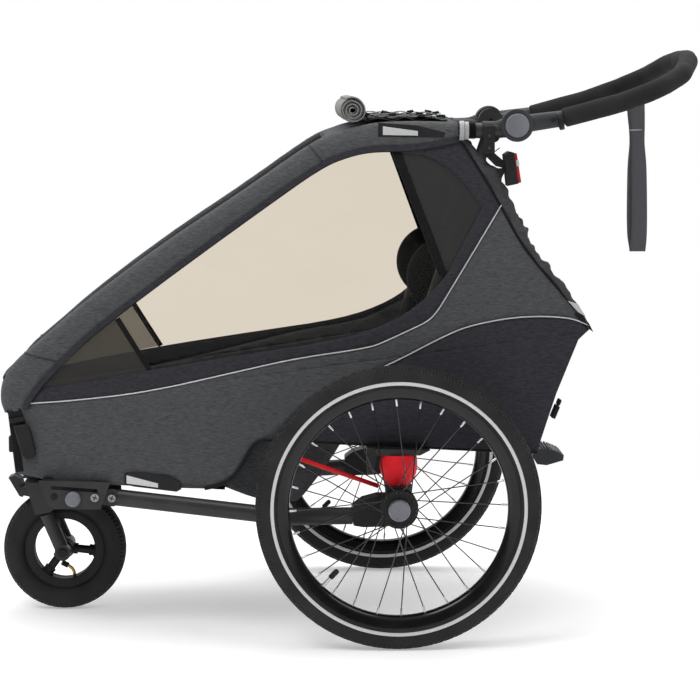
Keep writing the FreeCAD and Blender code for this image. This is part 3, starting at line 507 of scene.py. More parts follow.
def spaced(points, count):
    """The same line as count points at equal steps."""
    points = [Vector(point) for point in points]
    marks = [0.0]
    for first, second in zip(points, points[1:]):
        marks.append(marks[-1] + (second - first).length)
    result = []
    index = 0
    for number in range(count):
        target = marks[-1] * number / (count - 1)
        while index < len(marks) - 2 and marks[index + 1] < target:
            index += 1
        span = marks[index + 1] - marks[index]
        share = (target - marks[index]) / span if span else 0
        result.append(points[index].lerp(points[index + 1], clamp(share)))
    return result


def grid_faces(rows, columns, wrap_rows=False, wrap_columns=False, flip=False):
    faces = []
    for row in range(rows if wrap_rows else rows - 1):
        for column in range(columns if wrap_columns else columns - 1):
            after, beside = (row + 1) % rows, (column + 1) % columns
            face = (row * columns + column, row * columns + beside, after * columns + beside,
                    after * columns + column)
            faces.append(face[::-1] if flip else face)
    return faces


def tube_shape(points, radius, sides=10, squash=(1, 1)):
    """Vertices and faces of a tube; radius is a number or a function of 0 to 1 along it."""
    points = [Vector(point) for point in points]
    count = len(points)
    tangents = []
    for index in range(count):
        first, second = points[max(index - 1, 0)], points[min(index + 1, count - 1)]
        tangents.append((second - first).normalized())
    normal = tangents[0].orthogonal().normalized()
    if abs(tangents[0].y) < 0.9:
        normal = (Vector((0, 1, 0)) - tangents[0] * tangents[0].y).normalized()
    verts = []
    for index, (point, tangent) in enumerate(zip(points, tangents)):
        normal = (normal - tangent * normal.dot(tangent)).normalized()
        across = tangent.cross(normal)
        size = radius(index / (count - 1)) if callable(radius) else radius
        for number in range(sides):
            turn = 2 * math.pi * number / sides
            offset = normal * math.cos(turn) * squash[0] + across * math.sin(turn) * squash[1]
            verts.append(point + offset * size)
    faces = grid_faces(count, sides, wrap_columns=True)
    faces.append(tuple(range(sides - 1, -1, -1)))
    faces.append(tuple((count - 1) * sides + number for number in range(sides)))
    return verts, faces


def join_shapes(shapes):
    """Vertices and faces of several shapes as one."""
    verts, faces = [], []
    for more_verts, more_faces in shapes:
        start = len(verts)
        verts.extend(more_verts)
        faces.extend(tuple(start + index for index in face) for face in more_faces)
    return verts, faces


def lathe_shape(profile, segments, centre, axis=(0, 1, 0), start=(1, 0, 0), closed=True,
                relief=None):
    """Profile of (along, radius) turned about an axis; relief adds to the radius."""
    centre, axis, start = Vector(centre), Vector(axis).normalized(), Vector(start)
    start = (start - axis * start.dot(axis)).normalized()
    other = axis.cross(start)
    verts = []
    for number in range(segments):
        turn = 2 * math.pi * number / segments
        spoke = start * math.cos(turn) + other * math.sin(turn)
        for along, radius in profile:
            extra = relief(turn, along, radius) if relief else 0
            verts.append(centre + axis * along + spoke * (radius + extra))
    faces = grid_faces(segments, len(profile), wrap_rows=True, wrap_columns=closed, flip=True)
    return verts, faces


def box_shape(low, high):
    verts = [Vector((x, y, z)) for z in (low[2], high[2]) for y in (low[1], high[1])
             for x in (low[0], high[0])]
    faces = [(0, 2, 3, 1), (4, 5, 7, 6), (0, 1, 5, 4), (2, 6, 7, 3), (0, 4, 6, 2), (1, 3, 7, 5)]
    return verts, faces


def moved(shape, matrix):
    verts, faces = shape
    return [matrix @ Vector(vert) for vert in verts], faces


def signed_area(outline):
    """Twice an outline's area, positive where it runs anticlockwise."""
    return sum(a[0] * b[1] - b[0] * a[1] for a, b in zip(outline, outline[1:] + outline[:1]))


def prism_shape(outline, low, high):
    """A side outline of (x, z) drawn out between two Y values."""
    count = len(outline)
    verts = [Vector((x, low, z)) for x, z in outline] + [Vector((x, high, z)) for x, z in outline]
    faces = [tuple(range(count)), tuple(range(2 * count - 1, count - 1, -1))]
    for index in range(count):
        after = (index + 1) % count
        faces.append((index, index + count, after + count, after))
    if signed_area(outline) < 0:
        faces = [face[::-1] for face in faces]
    return verts, faces


def at(distance, height):
    """X and Z in millimetres of a side outline's point."""
    return AXLE_X / MM + distance, height


# ---------------------------------------------------------------- the cabin's outlines

# hood strip: outer distance, outer height, inner distance, inner height
HOOD = [(-706, 392, -663, 403), (-714, 412, -652, 424), (-710, 448, -636, 444), (-690, 484, -612, 471),
        (-637, 527, -575, 507), (-564, 591, -532, 546), (-419, 699, -387, 656), (-276, 793, -244, 760),
        (-160, 875, -132, 840), (-117, 898, -84, 859), (-47, 916, -47, 867), (-9, 919, -9, 868),
        (40, 920, 40, 870), (106, 918, 106, 884)]
PIPING = [(-661, 412), (-575, 419), (-439, 437), (-260, 480), (-171, 501), (-47, 520), (-14, 535), (28, 555),
          (56, 569), (71, 586), (86, 610), (126, 679), (182, 774)]
BRANCH = [(-150, 425), (-80, 462), (-10, 492), (76, 539), (129, 563), (216, 579), (303, 577), (338, 562)]
WINDOW_FOOT = [(-642, 438), (-452, 473), (-260, 507), (-82, 537), (6, 574), (54, 612), (87, 651)]
# The right-hand window, seen through the left one, reaches a little lower and further back.
RIGHT_FOOT = [(-642, 438), (-452, 473), (-260, 500), (-82, 523), (12, 556), (66, 598), (101, 645)]
MESH_TOP = [(5, 866), (46, 862), (84, 844), (118, 812), (148, 770)]
REAR_SEAM = [(97, 893), (113, 882), (141, 839), (180, 774), (221, 699), (278, 633), (331, 571), (337, 554)]
REAR_LOW = [(337, 554), (319, 537), (281, 442), (254, 359), (248, 337)]
WING_FOOT = [(248, 337), (59, 344), (-154, 351), (-235, 353)]
ARCH = [(-235, 353), (-254, 346), (-271, 313), (-291, 283), (-315, 269), (-342, 263)]
FRONT_FOOT = [(-342, 263), (-423, 264), (-605, 269), (-685, 284)]
NOSE_EDGE = [(-685, 284), (-697, 396)]
WELL = [(-306, 262), (-246, 238), (-184, 232), (-166, 243), (-105, 327), (-94, 351)]
WELL_HALF = 192
VENT_SEAM = [(-497, 567), (-440, 475)]
MESH_SEAM = [(5, 866), (87, 651)]

# The side panels are cut along this sloping plane into a lower and an upper piece.
FOLD_FROM, FOLD_TO = (-690, 404), (337, 552)
FOLD_SLOPE = math.atan2(FOLD_TO[1] - FOLD_FROM[1], FOLD_TO[0] - FOLD_FROM[0])
FOLD_AXIS = (-math.sin(FOLD_SLOPE), 0, math.cos(FOLD_SLOPE))
FOLD_ANCHOR = (AXLE_X + FOLD_TO[0] * MM, 0, FOLD_TO[1] * MM)


def crumples(thing):
    """Gives this soft piece its own copy of its mesh."""
    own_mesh(thing)
    return thing


def puff(distance, height):
    """How far the cloth stands out of its flat side, in millimetres."""
    low = clamp((height - 250) / 230)
    belly = 7 * math.sin(math.pi * low) * clamp((distance + 700) / 120) * clamp((345 - distance) / 90)
    return belly + 1.8 * ripple(distance, height, 95) + 0.7 * ripple(distance, height, 34, 5)


def skin(distance, height, side, out=0.0):
    """A point on the cabin's side cloth."""
    x, z = at(distance, height)
    return Vector((x, side * (half_width(distance) + puff(distance, height) + out), z))


def inside(point, outline):
    hit = False
    for (x1, y1), (x2, y2) in zip(outline, outline[1:] + outline[:1]):
        if (y1 > point[1]) != (y2 > point[1]) and point[0] < (x2 - x1) * (point[1] - y1) / (y2 - y1) + x1:
            hit = not hit
    return hit


def edge_gap(point, outline):
    """Distance from a point to a closed outline."""
    best = 1e9
    for first, second in zip(outline, outline[1:] + outline[:1]):
        ax, ay = first
        bx, by = second[0] - ax, second[1] - ay
        length = bx * bx + by * by
        share = clamp(((point[0] - ax) * bx + (point[1] - ay) * by) / length) if length else 0
        best = min(best, math.hypot(point[0] - ax - bx * share, point[1] - ay - by * share))
    return best


def filled(outline, step):
    """Flat triangles over an outline, about step apart: points and faces."""
    border = []
    for first, second in zip(outline, outline[1:] + outline[:1]):
        length = math.hypot(second[0] - first[0], second[1] - first[1])
        count = max(1, round(length / step))
        for number in range(count):
            share = number / count
            border.append((first[0] + (second[0] - first[0]) * share,
                           first[1] + (second[1] - first[1]) * share))
    points = list(border)
    low_x, high_x = min(p[0] for p in outline), max(p[0] for p in outline)
    low_y, high_y = min(p[1] for p in outline), max(p[1] for p in outline)
    row = 0
    y = low_y + step / 2
    while y < high_y:
        x = low_x + (step / 2 if row % 2 else step)
        while x < high_x:
            if inside((x, y), outline) and edge_gap((x, y), border) > step * 0.55:
                points.append((x, y))
            x += step
        y += step * 0.866
        row += 1
    edges = [(index, (index + 1) % len(border)) for index in range(len(border))]
    result = delaunay_2d_cdt([Vector(point) for point in points], edges, [], 1, 1e-5)
    return [tuple(point) for point in result[0]], [tuple(face) for face in result[2]]


def panel(name, outline, side, paint, slot, step=9, out=0.0, thickness=1.6, flat_half=None):
    """A cloth panel on the cabin's side, or flat at a given half width."""
    points, faces = filled(outline, step)
    verts = []
    for distance, height in points:
        if flat_half is None:
            verts.append(skin(distance, height, side, out))
        else:
            x, z = at(distance, height)
            verts.append(Vector((x, side * flat_half, z)))
    if side > 0:
        faces = [face[::-1] for face in faces]
    thing = piece(name, verts, faces, paint, "cabin", slot, sharp=60)
    return thicken(thing, thickness)


def cloth(thing, *rests_on, held="stretched"):
    """Leaves the piece as it is."""


def keep_side(thing, above):
    """Cuts a mesh at the fold plane and keeps one side of it."""
    cut = bmesh.new()
    cut.from_mesh(thing.data)
    geometry = cut.verts[:] + cut.edges[:] + cut.faces[:]
    bmesh.ops.bisect_plane(cut, geom=geometry, dist=1e-7, plane_co=FOLD_ANCHOR, plane_no=FOLD_AXIS,
                           clear_inner=above, clear_outer=not above)
    cut.to_mesh(thing.data)
    cut.free()
    return thing


def cord_line(points, side, out=0.0):
    """A line along the cabin's side through smoothed (distance, height) points."""
    flat = rounded([(x, y, 0) for x, y in points], 3)
    length = sum((b - a).length for a, b in zip(flat, flat[1:]))
    return [skin(point.x, point.y, side, out) for point in spaced(flat, max(3, int(length / 7)))]


def make_piping(name, points, side, out=0.8):
    verts, faces = tube_shape(cord_line(points, side, out), 1.25, 8)
    crumples(piece(name, verts, faces, "tape", "cabin", "hood_cloth"))


def plastic(name, shape, body, width, segments=2):
    """A black plastic moulding with rounded edges."""
    return soften(piece(name, *shape, "black_plastic", body, "black_plastic"), width, segments)


def cabin_cloth(name, verts, faces, paint):
    return piece(name, verts, faces, paint, "cabin", "hood_cloth", sharp=70)


# ---------------------------------------------------------------- hood

SHOULDER = 24
STRIP_TOP = 44


def hood_stations(count):
    """Matching outer and inner points of the hood strip at equal steps."""
    line = rounded(HOOD, 2)
    marks = [0.0]
    for first, second in zip(line, line[1:]):
        marks.append(marks[-1] + math.hypot(second[0] - first[0], second[1] - first[1]))
    rows, index = [], 0
    for number in range(count):
        target = marks[-1] * number / (count - 1)
        while index < len(marks) - 2 and marks[index + 1] < target:
            index += 1
        share = clamp((target - marks[index]) / (marks[index + 1] - marks[index]))
        rows.append(line[index].lerp(line[index + 1], share))
    return rows


def strip_section(length):
    """Cross-section of the padded hood strip: (gap from the outer edge, inset from the side)."""
    shoulder = min(SHOULDER, length * 0.6)
    section = []
    for number in range(9):
        section.append((length - (length - shoulder) * number / 8, 0.0))
    for number in range(1, 9):
        turn = math.radians(90) * number / 8
        section.append((shoulder * (1 - math.sin(turn)), shoulder * (1 - math.cos(turn))))
    for number in range(1, 4):
        section.append((0.0, shoulder + (STRIP_TOP - shoulder) * number / 4))
    section.append((2.5, STRIP_TOP - 2))
    section.append((7, STRIP_TOP))
    section.append((shoulder * 0.8, STRIP_TOP - 6))
    section.append((length * 0.55, 16))
    section.append((length * 0.85, 5))
    section.append((length, 2.4))
    return section


def hood_wrinkle(number, gap, inset, side):
    """Small gathers across the strip, stronger where the hoop bends over the roof."""
    strong = 1.0 + 2.2 * math.exp(-((number - 88) / 9) ** 2) + 1.2 * math.exp(-((number - 8) / 6) ** 2)
    wave = noise.noise(Vector((number / 3.1, gap / 60, 3 + side)))
    return 0.55 * strong * wave * (1 if inset < 30 else 0.4)


def make_hood():
    """Padded side strips, the nose lip and the roof."""
    count = 132
    rows = hood_stations(count)
    for word, side in SIDES:
        verts = []
        for number, row in enumerate(rows):
            outer, inner = Vector((row[0], row[1])), Vector((row[2], row[3]))
            down = inner - outer
            length = down.length
            down.normalize()
            for gap, inset in strip_section(length):
                spot = outer + down * gap
                x, z = at(spot.x, spot.y)
                swell = hood_wrinkle(number, gap, inset, side)
                swell += 3.0 * math.sin(math.pi * clamp(gap / length)) if inset < 1 else 0
                y = half_width(spot.x) - inset + swell + 1.2
                push = swell * 0.5 if gap < 1 else 0
                verts.append(Vector((x, side * y, z)) - Vector((down.x, 0, down.y)) * push)
        columns = len(strip_section(60))
        faces = grid_faces(count, columns, wrap_columns=True, flip=side < 0)
        thing = cabin_cloth("hood_strip_" + word, verts, faces, "hood_cloth")
        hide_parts("hood")
        crumples(thing)
        inner_line = [(row[2], row[3]) for row in rows]
        verts, faces = tube_shape([skin(x, y, side, 1.6) for x, y in inner_line], 2.2, 8)
        crumples(piece("hood_binding_" + word, verts, faces, "black_cloth", "cabin", "hood_cloth"))
        make_hood_band(word, side, rows)
    make_roof(rows)
    make_lip(rows)


def make_hood_band(word, side, rows):
    """Dark hem along the strip's lower edge, and the two seams across the strip."""
    line = []
    for row in rows:
        outer, inner = Vector((row[0], row[1])), Vector((row[2], row[3]))
        spot = inner + (outer - inner).normalized() * 4.5
        line.append((spot.x, spot.y))
    band = piece("hood_hem_" + word, *ribbon(line, side, 8.5, 4.2, 0.5), "trim_cloth", "cabin",
                 "hood_cloth")
    crumples(thicken(band, 1.2, 1))
    seams = []
    for number in (16, 97):
        row = rows[number]
        outer, inner = Vector((row[0], row[1])), Vector((row[2], row[3]))
        path = []
        for gap, inset in strip_section((inner - outer).length)[:18]:
            spot = outer + (inner - outer).normalized() * gap
            x, z = at(spot.x, spot.y)
            swell = 3.0 * math.sin(math.pi * clamp(gap / (inner - outer).length)) if inset < 1 else 0
            path.append(Vector((x, side * (half_width(spot.x) - inset + swell + 1.9), z + 0.4)))
        seams.append(tube_shape(path, 0.9, 6))
    crumples(piece("hood_seams_" + word, *join_shapes(seams), "trim_cloth", "cabin", "hood_cloth"))


def roof_point(row, share, sag):
    """A point across the roof; share runs from -1 at the left strip to 1 at the right."""
    reach = half_width(row[0]) - STRIP_TOP + 6
    x, z = at(row[0], row[1])
    crown = 5 * (1 - share * share)
    fold = 1.5 * ripple(row[0], share * 260, 55, 9) * (1 - share ** 4)
    return Vector((x, reach * share, z - 3 + crown + fold - sag))


def make_roof(rows):
    picked = [row for row in rows if row[0] > -128 and row[1] > 850]
    columns = 45
    verts = []
    for row in picked:
        for number in range(columns):
            share = 2 * number / (columns - 1) - 1
            front = 6 * math.exp(-abs(row[0] + 128) / 12) * (1 - share * share)
            verts.append(roof_point(row, share, front))
    thing = cabin_cloth("roof", verts, grid_faces(len(picked), columns), "hood_cloth")
    thicken(thing, 2)
    crumples(thing)
    for place, line in (("front", verts[:columns]), ("rear", verts[-columns:])):
        more, faces = tube_shape(line, 3.2, 8)
        crumples(piece("roof_hem_" + place, more, faces, "trim_cloth", "cabin", "hood_cloth"))


def make_lip(rows):
    """The nose of the hood, across the front below the entrance."""
    picked = rows[:9]
    columns = 33
    verts = []
    for row in picked:
        for number in range(columns):
            share = 2 * number / (columns - 1) - 1
            point = roof_point(row, share, 0)
            point.x -= 5 * (1 - share * share)
            point.z = at(row[0], row[1])[1]
            verts.append(point)
    thing = cabin_cloth("nose_lip", verts, grid_faces(len(picked), columns), "hood_cloth")
    thicken(thing, 2.4)
    crumples(thing)
    cloth(thing, "front_hoop")
    more, faces = tube_shape(verts[-columns:], 4.5, 10)
    crumples(piece("nose_hem", more, faces, "trim_cloth", "cabin", "hood_cloth"))


# ---------------------------------------------------------------- side panels

def body_outline():
    """The grey panel: front and middle of the side, and the wedge under the rear branch."""
    rear = [(x, y) for x, y in REAR_SEAM if y < 770]
    line = smooth(PIPING) + rear[:-1] + smooth(BRANCH)[::-1]
    line += [(-233, 353)] + ARCH[0:1] + arch_line()[1:] + FRONT_FOOT[1:] + [NOSE_EDGE[1]]
    return clean(line)


def arch_line():
    return even(smooth(ARCH, 3), 16)


def clean(outline):
    """Drops corners closer than a millimetre to the one before."""
    result = []
    for point in outline:
        if not result or math.hypot(point[0] - result[-1][0], point[1] - result[-1][1]) > 1.5:
            result.append(tuple(point))
    if math.hypot(result[0][0] - result[-1][0], result[0][1] - result[-1][1]) < 1.5:
        result.pop()
    return result


def rear_outline():
    """The darker panel behind the branch piping."""
    return clean(smooth(BRANCH) + REAR_LOW + WING_FOOT[1:] + [(-233, 353)])


def window_foot(side):
    return RIGHT_FOOT if side > 0 else WINDOW_FOOT


def mesh_seam(side):
    return [(19, 866), RIGHT_FOOT[-1]] if side > 0 else MESH_SEAM


def mesh_top(side):
    return smooth([mesh_seam(side)[0]] + MESH_TOP[1:])


def trim_outline(side):
    """The dark band round the window, from the nose up to the rear seam."""
    inner = smooth(window_foot(side)) + mesh_top(side)[::-1]
    hood_low = [(40, 878), (97, 892)]
    rear = [(113, 882), (141, 839), (180, 774)]
    return clean(inner + hood_low + rear + smooth(PIPING)[::-1])


def window_outline(side):
    top = [(row[2], row[3]) for row in hood_stations(60) if row[2] < 0 and row[3] > 446]
    return clean(smooth(window_foot(side)) + [mesh_seam(side)[0]] + top[::-1])


def mesh_outline(side):
    return clean(mesh_top(side)[::-1] + [mesh_seam(side)[1]])


def grown(outline, amount):
    """The outline moved outwards from its middle plane by amount, for an overlap under a seam."""
    count = len(outline)
    turn = 1 if signed_area(outline) > 0 else -1
    result = []
    for index in range(count):
        before, here, after = outline[index - 1], outline[index], outline[(index + 1) % count]
        along = Vector((after[0] - before[0], after[1] - before[1])).normalized()
        result.append((here[0] + along.y * amount * turn, here[1] - along.x * amount * turn))
    return result


def make_side_panels():
    for word, side in SIDES:
        body = body_outline()
        rear = rear_outline()
        for name, outline, paint in (("side_panel", body, "body_cloth"), ("rear_panel", rear, "trim_cloth")):
            low = keep_side(panel(name + "_" + word, outline, side, paint, "body_cloth"), above=False)
            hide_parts("cabin_body")
            cloth(low, "side_rail_" + word, "cross_tubes")
            high = keep_side(panel(name + "_upper_" + word, outline, side, paint, "body_cloth"), above=True)
            crumples(high)
            cloth(high, "front_hoop", "rear_hoop")
        trim = panel("window_trim_" + word, trim_outline(side), side, "trim_cloth", "hood_cloth",
                     step=8, out=0.6)
        crumples(trim)
        cloth(trim, "front_hoop", "rear_hoop")
        film = window_outline(side)
        film_piece = panel("window_" + word, grown(film, 3), side, "film", "window_film", step=16, out=-2.2,
                           thickness=0.5)
        film_piece.modifiers.clear()
        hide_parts("windows")
        crumples(film_piece)
        cloth(film_piece, "front_hoop", "rear_hoop")
        make_vent(word, side)
        mesh_piece = panel("mesh_" + word, grown(mesh_outline(side), 3), side, "mesh", "mesh_cloth",
                           step=12, out=-2.6)
        mesh_piece.modifiers.clear()
        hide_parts("mesh_panels")
        crumples(mesh_piece)
        cloth(mesh_piece, "front_hoop", "rear_hoop")
        make_piping("piping_" + word, PIPING, side)
        make_piping("branch_piping_" + word, BRANCH[1:], side, out=1.0)
        binding = cord_line(ARCH[::-1] + [(-230, 353)], side, 0.5)
        verts, faces = tube_shape(binding, 3.4, 10)
        piece("arch_binding_" + word, verts, faces, "webbing", "cabin", "webbing")
        under = cord_line(WING_FOOT, side, -0.5)
        verts, faces = tube_shape(under, 2.0, 8)
        piece("foot_binding_" + word, verts, faces, "black_cloth", "cabin", "body_cloth")


def ribbon(points, side, width, out, lift=0.8):
    """A flat strap lying on the cabin's side along (distance, height) points."""
    flat = [Vector((x, y, 0)) for x, y in points]
    count = len(flat)
    verts = []
    for index, point in enumerate(flat):
        along = (flat[min(index + 1, count - 1)] - flat[max(index - 1, 0)]).normalized()
        cross = Vector((-along.y, along.x, 0)) * width / 2
        for sign, height in ((-1, out), (-0.9, out + lift), (0.9, out + lift), (1, out)):
            spot = point + cross * sign
            verts.append(skin(spot.x, spot.y, side, height))
    return verts, grid_faces(count, 4, flip=side < 0)


def make_vent(word, side):
    """Dark vent at the front of the window and the bound seams beside it and at the mesh."""
    top = [(row[2], row[3]) for row in hood_stations(60) if row[2] < VENT_SEAM[0][0] and row[3] > 446]
    outline = clean([(-642, 438), (-452, 473), VENT_SEAM[1], VENT_SEAM[0]] + top[::-1])
    vent = panel("vent_" + word, outline, side, "vent", "mesh_cloth", step=14, out=-0.9)
    vent.modifiers.clear()
    crumples(vent)
    cloth(vent, "front_hoop")
    seam = [(distance - 6, height) for distance, height in mesh_seam(side)]
    for name, (start, end), width in (("vent_seam", VENT_SEAM, 10), ("mesh_seam", seam, 15)):
        line = [(p.x, p.y) for p in spaced([(*start, 0), (*end, 0)], 24)]
        strap = piece(name + "_" + word, *ribbon(line, side, width, -0.6), "black_cloth", "cabin", "webbing")
        thicken(strap, 1)
        crumples(strap)


# ---------------------------------------------------------------- walls across the cabin

def across_sheet(name, path, reach, paint, inset=0.0, columns=29, body="cabin", slot="body_cloth", sag=0.0,
                 thickness=1.8):
    """Cloth spanning the cabin along a side path; reach gives its half width at a distance."""
    verts = []
    for distance, height in path:
        x, z = at(distance, height)
        for number in range(columns):
            share = 2 * number / (columns - 1) - 1
            relief = 1.2 * ripple(distance + height, share * 300, 60, 2) + sag * (1 - share * share)
            verts.append(Vector((x, (reach(distance) - inset) * share, z - relief)))
    thing = piece(name, verts, grid_faces(len(path), columns), paint, body, slot, sharp=50)
    cloth(thing, "side_rail_left", "side_rail_right", "cross_tubes")
    return thicken(thing, thickness, 0)


def dense(points, step=12, rounding=0):
    points = [(p.x, p.y) for p in rounded([(x, y, 0) for x, y in points], rounding)]
    result = []
    for first, second in zip(points, points[1:]):
        length = math.hypot(second[0] - first[0], second[1] - first[1])
        count = max(1, round(length / step))
        for number in range(count):
            share = number / count
            result.append((first[0] + (second[0] - first[0]) * share,
                           first[1] + (second[1] - first[1]) * share))
    result.append(points[-1])
    return result


def make_walls():
    """Nose, bottom, footwell and rear wall."""
    across_sheet("nose_wall", dense([(-700, 398), (-697, 392), (-685, 284)]), half_width, "black_cloth")
    across_sheet("front_floor", dense([(-685, 284), (-605, 269), (-423, 264), (-342, 263), (-306, 262)]),
                 half_width, "black_cloth")
    across_sheet("footwell", dense(WELL, 10, 2), lambda distance: WELL_HALF, "body_cloth")
    across_sheet("rear_floor", dense([(-94, 351), (59, 344), (248, 337)]), half_width, "black_cloth")
    across_sheet("rear_wall", dense(REAR_LOW[::-1]), half_width, "trim_cloth")
    for word, side in SIDES:
        outline = clean([(p.x, p.y) for p in rounded([(x, y, 0) for x, y in WELL], 2)]
                        + [(-154, 351)] + arch_line()[:-4])
        wall = panel("footwell_side_" + word, outline, side, "body_cloth", "body_cloth", flat_half=WELL_HALF)
        cloth(wall, "side_rail_" + word)
        path = dense(ARCH[::-1] + [(-154, 351), (-94, 351)], 10, 2)
        verts = []
        for distance, height in path:
            x, z = at(distance, height)
            for share in (0.0, 0.25, 0.5, 0.75, 1.0):
                wide = WELL_HALF + (half_width(distance) + puff(distance, height) - WELL_HALF) * share
                verts.append(Vector((x, side * wide, z)))
        wing = piece("wing_under_" + word, verts, grid_faces(len(path), 5, flip=side < 0), "black_cloth",
                     "cabin", "body_cloth")
        thicken(wing, 1.6, 0)
        cloth(wing, "side_rail_" + word)


# ---------------------------------------------------------------- rear cover

REAR_TOP = (84, 905)


def rear_line(count):
    line = rounded([(*REAR_TOP, 0), (103, 893, 0)] + [(x, y, 0) for x, y in REAR_SEAM[1:]], 3)
    return spaced(line, count)


def make_rear_cover():
    """Light mesh cover over the back, with bunched and folded side edges."""
    rows, columns = 110, 61
    line = rear_line(rows)
    verts = []
    for index, point in enumerate(line):
        along = (line[min(index + 1, rows - 1)] - line[max(index - 1, 0)]).normalized()
        outwards = Vector((-along.y, along.x, 0)) * -1
        if outwards.x < 0:
            outwards = -outwards
        part = index / (rows - 1)
        for number in range(columns):
            share = 2 * number / (columns - 1) - 1
            edge = abs(share) ** 14
            sag = -7 * (1 - share * share) * math.sin(math.pi * part)
            gather = 2.6 * noise.noise(Vector((part * 16, share * 2.2, 7))) * (0.3 + abs(share) ** 3)
            swell = 6 * edge * math.sin(math.pi * part)
            x, z = at(point.x, point.y)
            shift = outwards * (sag + gather + swell)
            reach = half_width(point.x) - 4
            verts.append(Vector((x + shift.x, reach * share, z + shift.y)))
    sheet = cabin_cloth("rear_sheet", verts, grid_faces(rows, columns), "cover_cloth")
    thicken(sheet, 1.8, 0)
    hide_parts("rear_cover")
    crumples(sheet)
    for word, side in SIDES:
        make_bunched_edge(word, side)


def make_bunched_edge(word, side):
    """The cover's side edge: a flattened, gathered fold that stands proud of the seam."""
    rows, around = 150, 18
    line = rear_line(rows)
    randomness = random.Random(3)
    humps = [(randomness.uniform(0.05, 0.95), randomness.uniform(3.0, 7.0), randomness.uniform(0.012, 0.03))
             for _ in range(14)]
    verts = []
    for index, point in enumerate(line):
        along = (line[min(index + 1, rows - 1)] - line[max(index - 1, 0)]).normalized()
        out = Vector((along.y, -along.x))
        if out.x < 0:
            out = -out
        part = index / (rows - 1)
        body = math.sin(math.pi * clamp(part * 1.02)) ** 0.6
        upper = math.exp(-((part - 0.3) / 0.16) ** 2)
        proud = 4 + 9 * body + 11 * upper
        proud += sum(size * math.exp(-((part - place) / wide) ** 2) for place, size, wide in humps) * body
        x, z = at(point.x, point.y)
        for number in range(around):
            turn = 2 * math.pi * number / around
            depth = proud / 2 * (1 + math.cos(turn))
            crease = 1 + 0.4 * noise.noise(Vector((part * 26, turn * 1.5, side)))
            thick = (6.5 + 2.5 * math.sin(part * 40)) * math.sin(turn) * crease
            shift = out * (depth * crease - 1)
            verts.append(Vector((x + shift.x, side * (half_width(point.x) - 6 + thick), z + shift.y)))
    faces = grid_faces(rows, around, wrap_columns=True, flip=side > 0)
    faces += [tuple(range(around)), tuple(range((rows - 1) * around, rows * around))]
    edge = piece("rear_fold_" + word, verts, faces, "cover_cloth", "cabin", "hood_cloth", sharp=70)
    crumples(edge)
    seam = [(p.x, p.y) for p in spaced(rear_line(rows)[12:], 80)]
    verts, faces = tube_shape([skin(x, y, side, -1.0) for x, y in seam], 2.6, 8)
    crumples(piece("rear_binding_" + word, verts, faces, "black_cloth", "cabin", "hood_cloth"))


# ---------------------------------------------------------------- rolled front cover and roof ties

def make_roll():
    """Front cover rolled into a spiral across the roof."""
    x0, z0 = at(-77, 939)
    turns, steps, rows = 6.2, 200, 41
    verts = []
    for row in range(rows):
        share = 2 * row / (rows - 1) - 1
        squeeze = 1 - 0.16 * math.exp(-((abs(share) - 0.62) / 0.07) ** 2)
        for step in range(steps):
            part = step / (steps - 1)
            turn = 2 * math.pi * turns * part + 0.8
            size = (4 + 19 * part) * squeeze
            size *= 1 + 0.06 * noise.noise(Vector((turn * 0.9, share * 5, 1)))
            slip = 4 * math.sin(turn * 0.5 + 1) * (1 if share > 0 else -1) * abs(share) ** 8
            x, z = x0 + size * math.cos(turn), z0 + size * math.sin(turn) * 0.98
            verts.append(Vector((x, 228 * share + slip, z)))
    roll = cabin_cloth("cover_roll", verts, grid_faces(rows, steps), "roll_cloth")
    thicken(roll, 2.3, 0)
    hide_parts("rolled_cover")
    crumples(roll)


def make_roof_folds():
    """The cover's loose end and its ties, lying on the roof behind the roll."""
    rows, columns = 60, 49
    for layer, (start, end, lift, seed) in enumerate(((-62, 92, 1.5, 1), (-50, 70, 4.5, 4))):
        verts = []
        for row in range(rows):
            part = row / (rows - 1)
            distance = start + (end - start) * part
            x, z = at(distance, 921)
            for column in range(columns):
                share = 2 * column / (columns - 1) - 1
                fold = 2.6 * noise.noise(Vector((part * 7, share * 5, seed)))
                fold += 1.6 * math.sin(part * 21 + share * 3)
                verts.append(Vector((x, 212 * share, z + lift + fold)))
        thing = piece("cover_end_%d" % (layer + 1), verts, grid_faces(rows, columns),
                      "cover_cloth", "cabin", "hood_cloth", sharp=70)
        thicken(thing, 1.6, 0)
        crumples(thing)
        cloth(thing, "roof", held="laid")
    straps, clips = [], []
    for index, y in enumerate((-206, -150, -40, 60, 150, 206)):
        path = []
        for step in range(40):
            part = step / 39
            x, z = at(-70 + 160 * part, 921)
            lift = 8 + 2.6 * math.sin(part * 17 + index * 2)
            path.append(Vector((x, y + 8 * math.sin(part * 5 + index), z + lift)))
        straps.append(tube_shape(path, 1.0, 6, squash=(7, 1)))
        for part in (0.12, 0.42, 0.74, 0.95):
            spot = path[int(part * 39)]
            clips.append(moved(box_shape((-6, -9, -2.2), (6, 9, 2.8)), Matrix.Translation(spot)
                               @ Matrix.Rotation(0.2 * math.sin(index + part * 9), 4, "Y")))
    crumples(piece("roof_ties", *join_shapes(straps), "tie_webbing", "cabin", "webbing"))
    crumples(soften(piece("tie_clips", *join_shapes(clips), "black_plastic", "cabin", "black_plastic"), 1))


# ---------------------------------------------------------------- tags, buckles and labels

def tag_shape(outline, side, low, high):
    verts = []
    for out in (low, high):
        for distance, height in outline:
            verts.append(skin(distance, height, side, out))
    count = len(outline)
    faces = [tuple(range(count))[::-1], tuple(range(count, 2 * count))]
    for index in range(count):
        after = (index + 1) % count
        faces.append((index, after, after + count, index + count))
    if (signed_area(outline) > 0) != (side < 0):
        faces = [face[::-1] for face in faces]
    return verts, faces


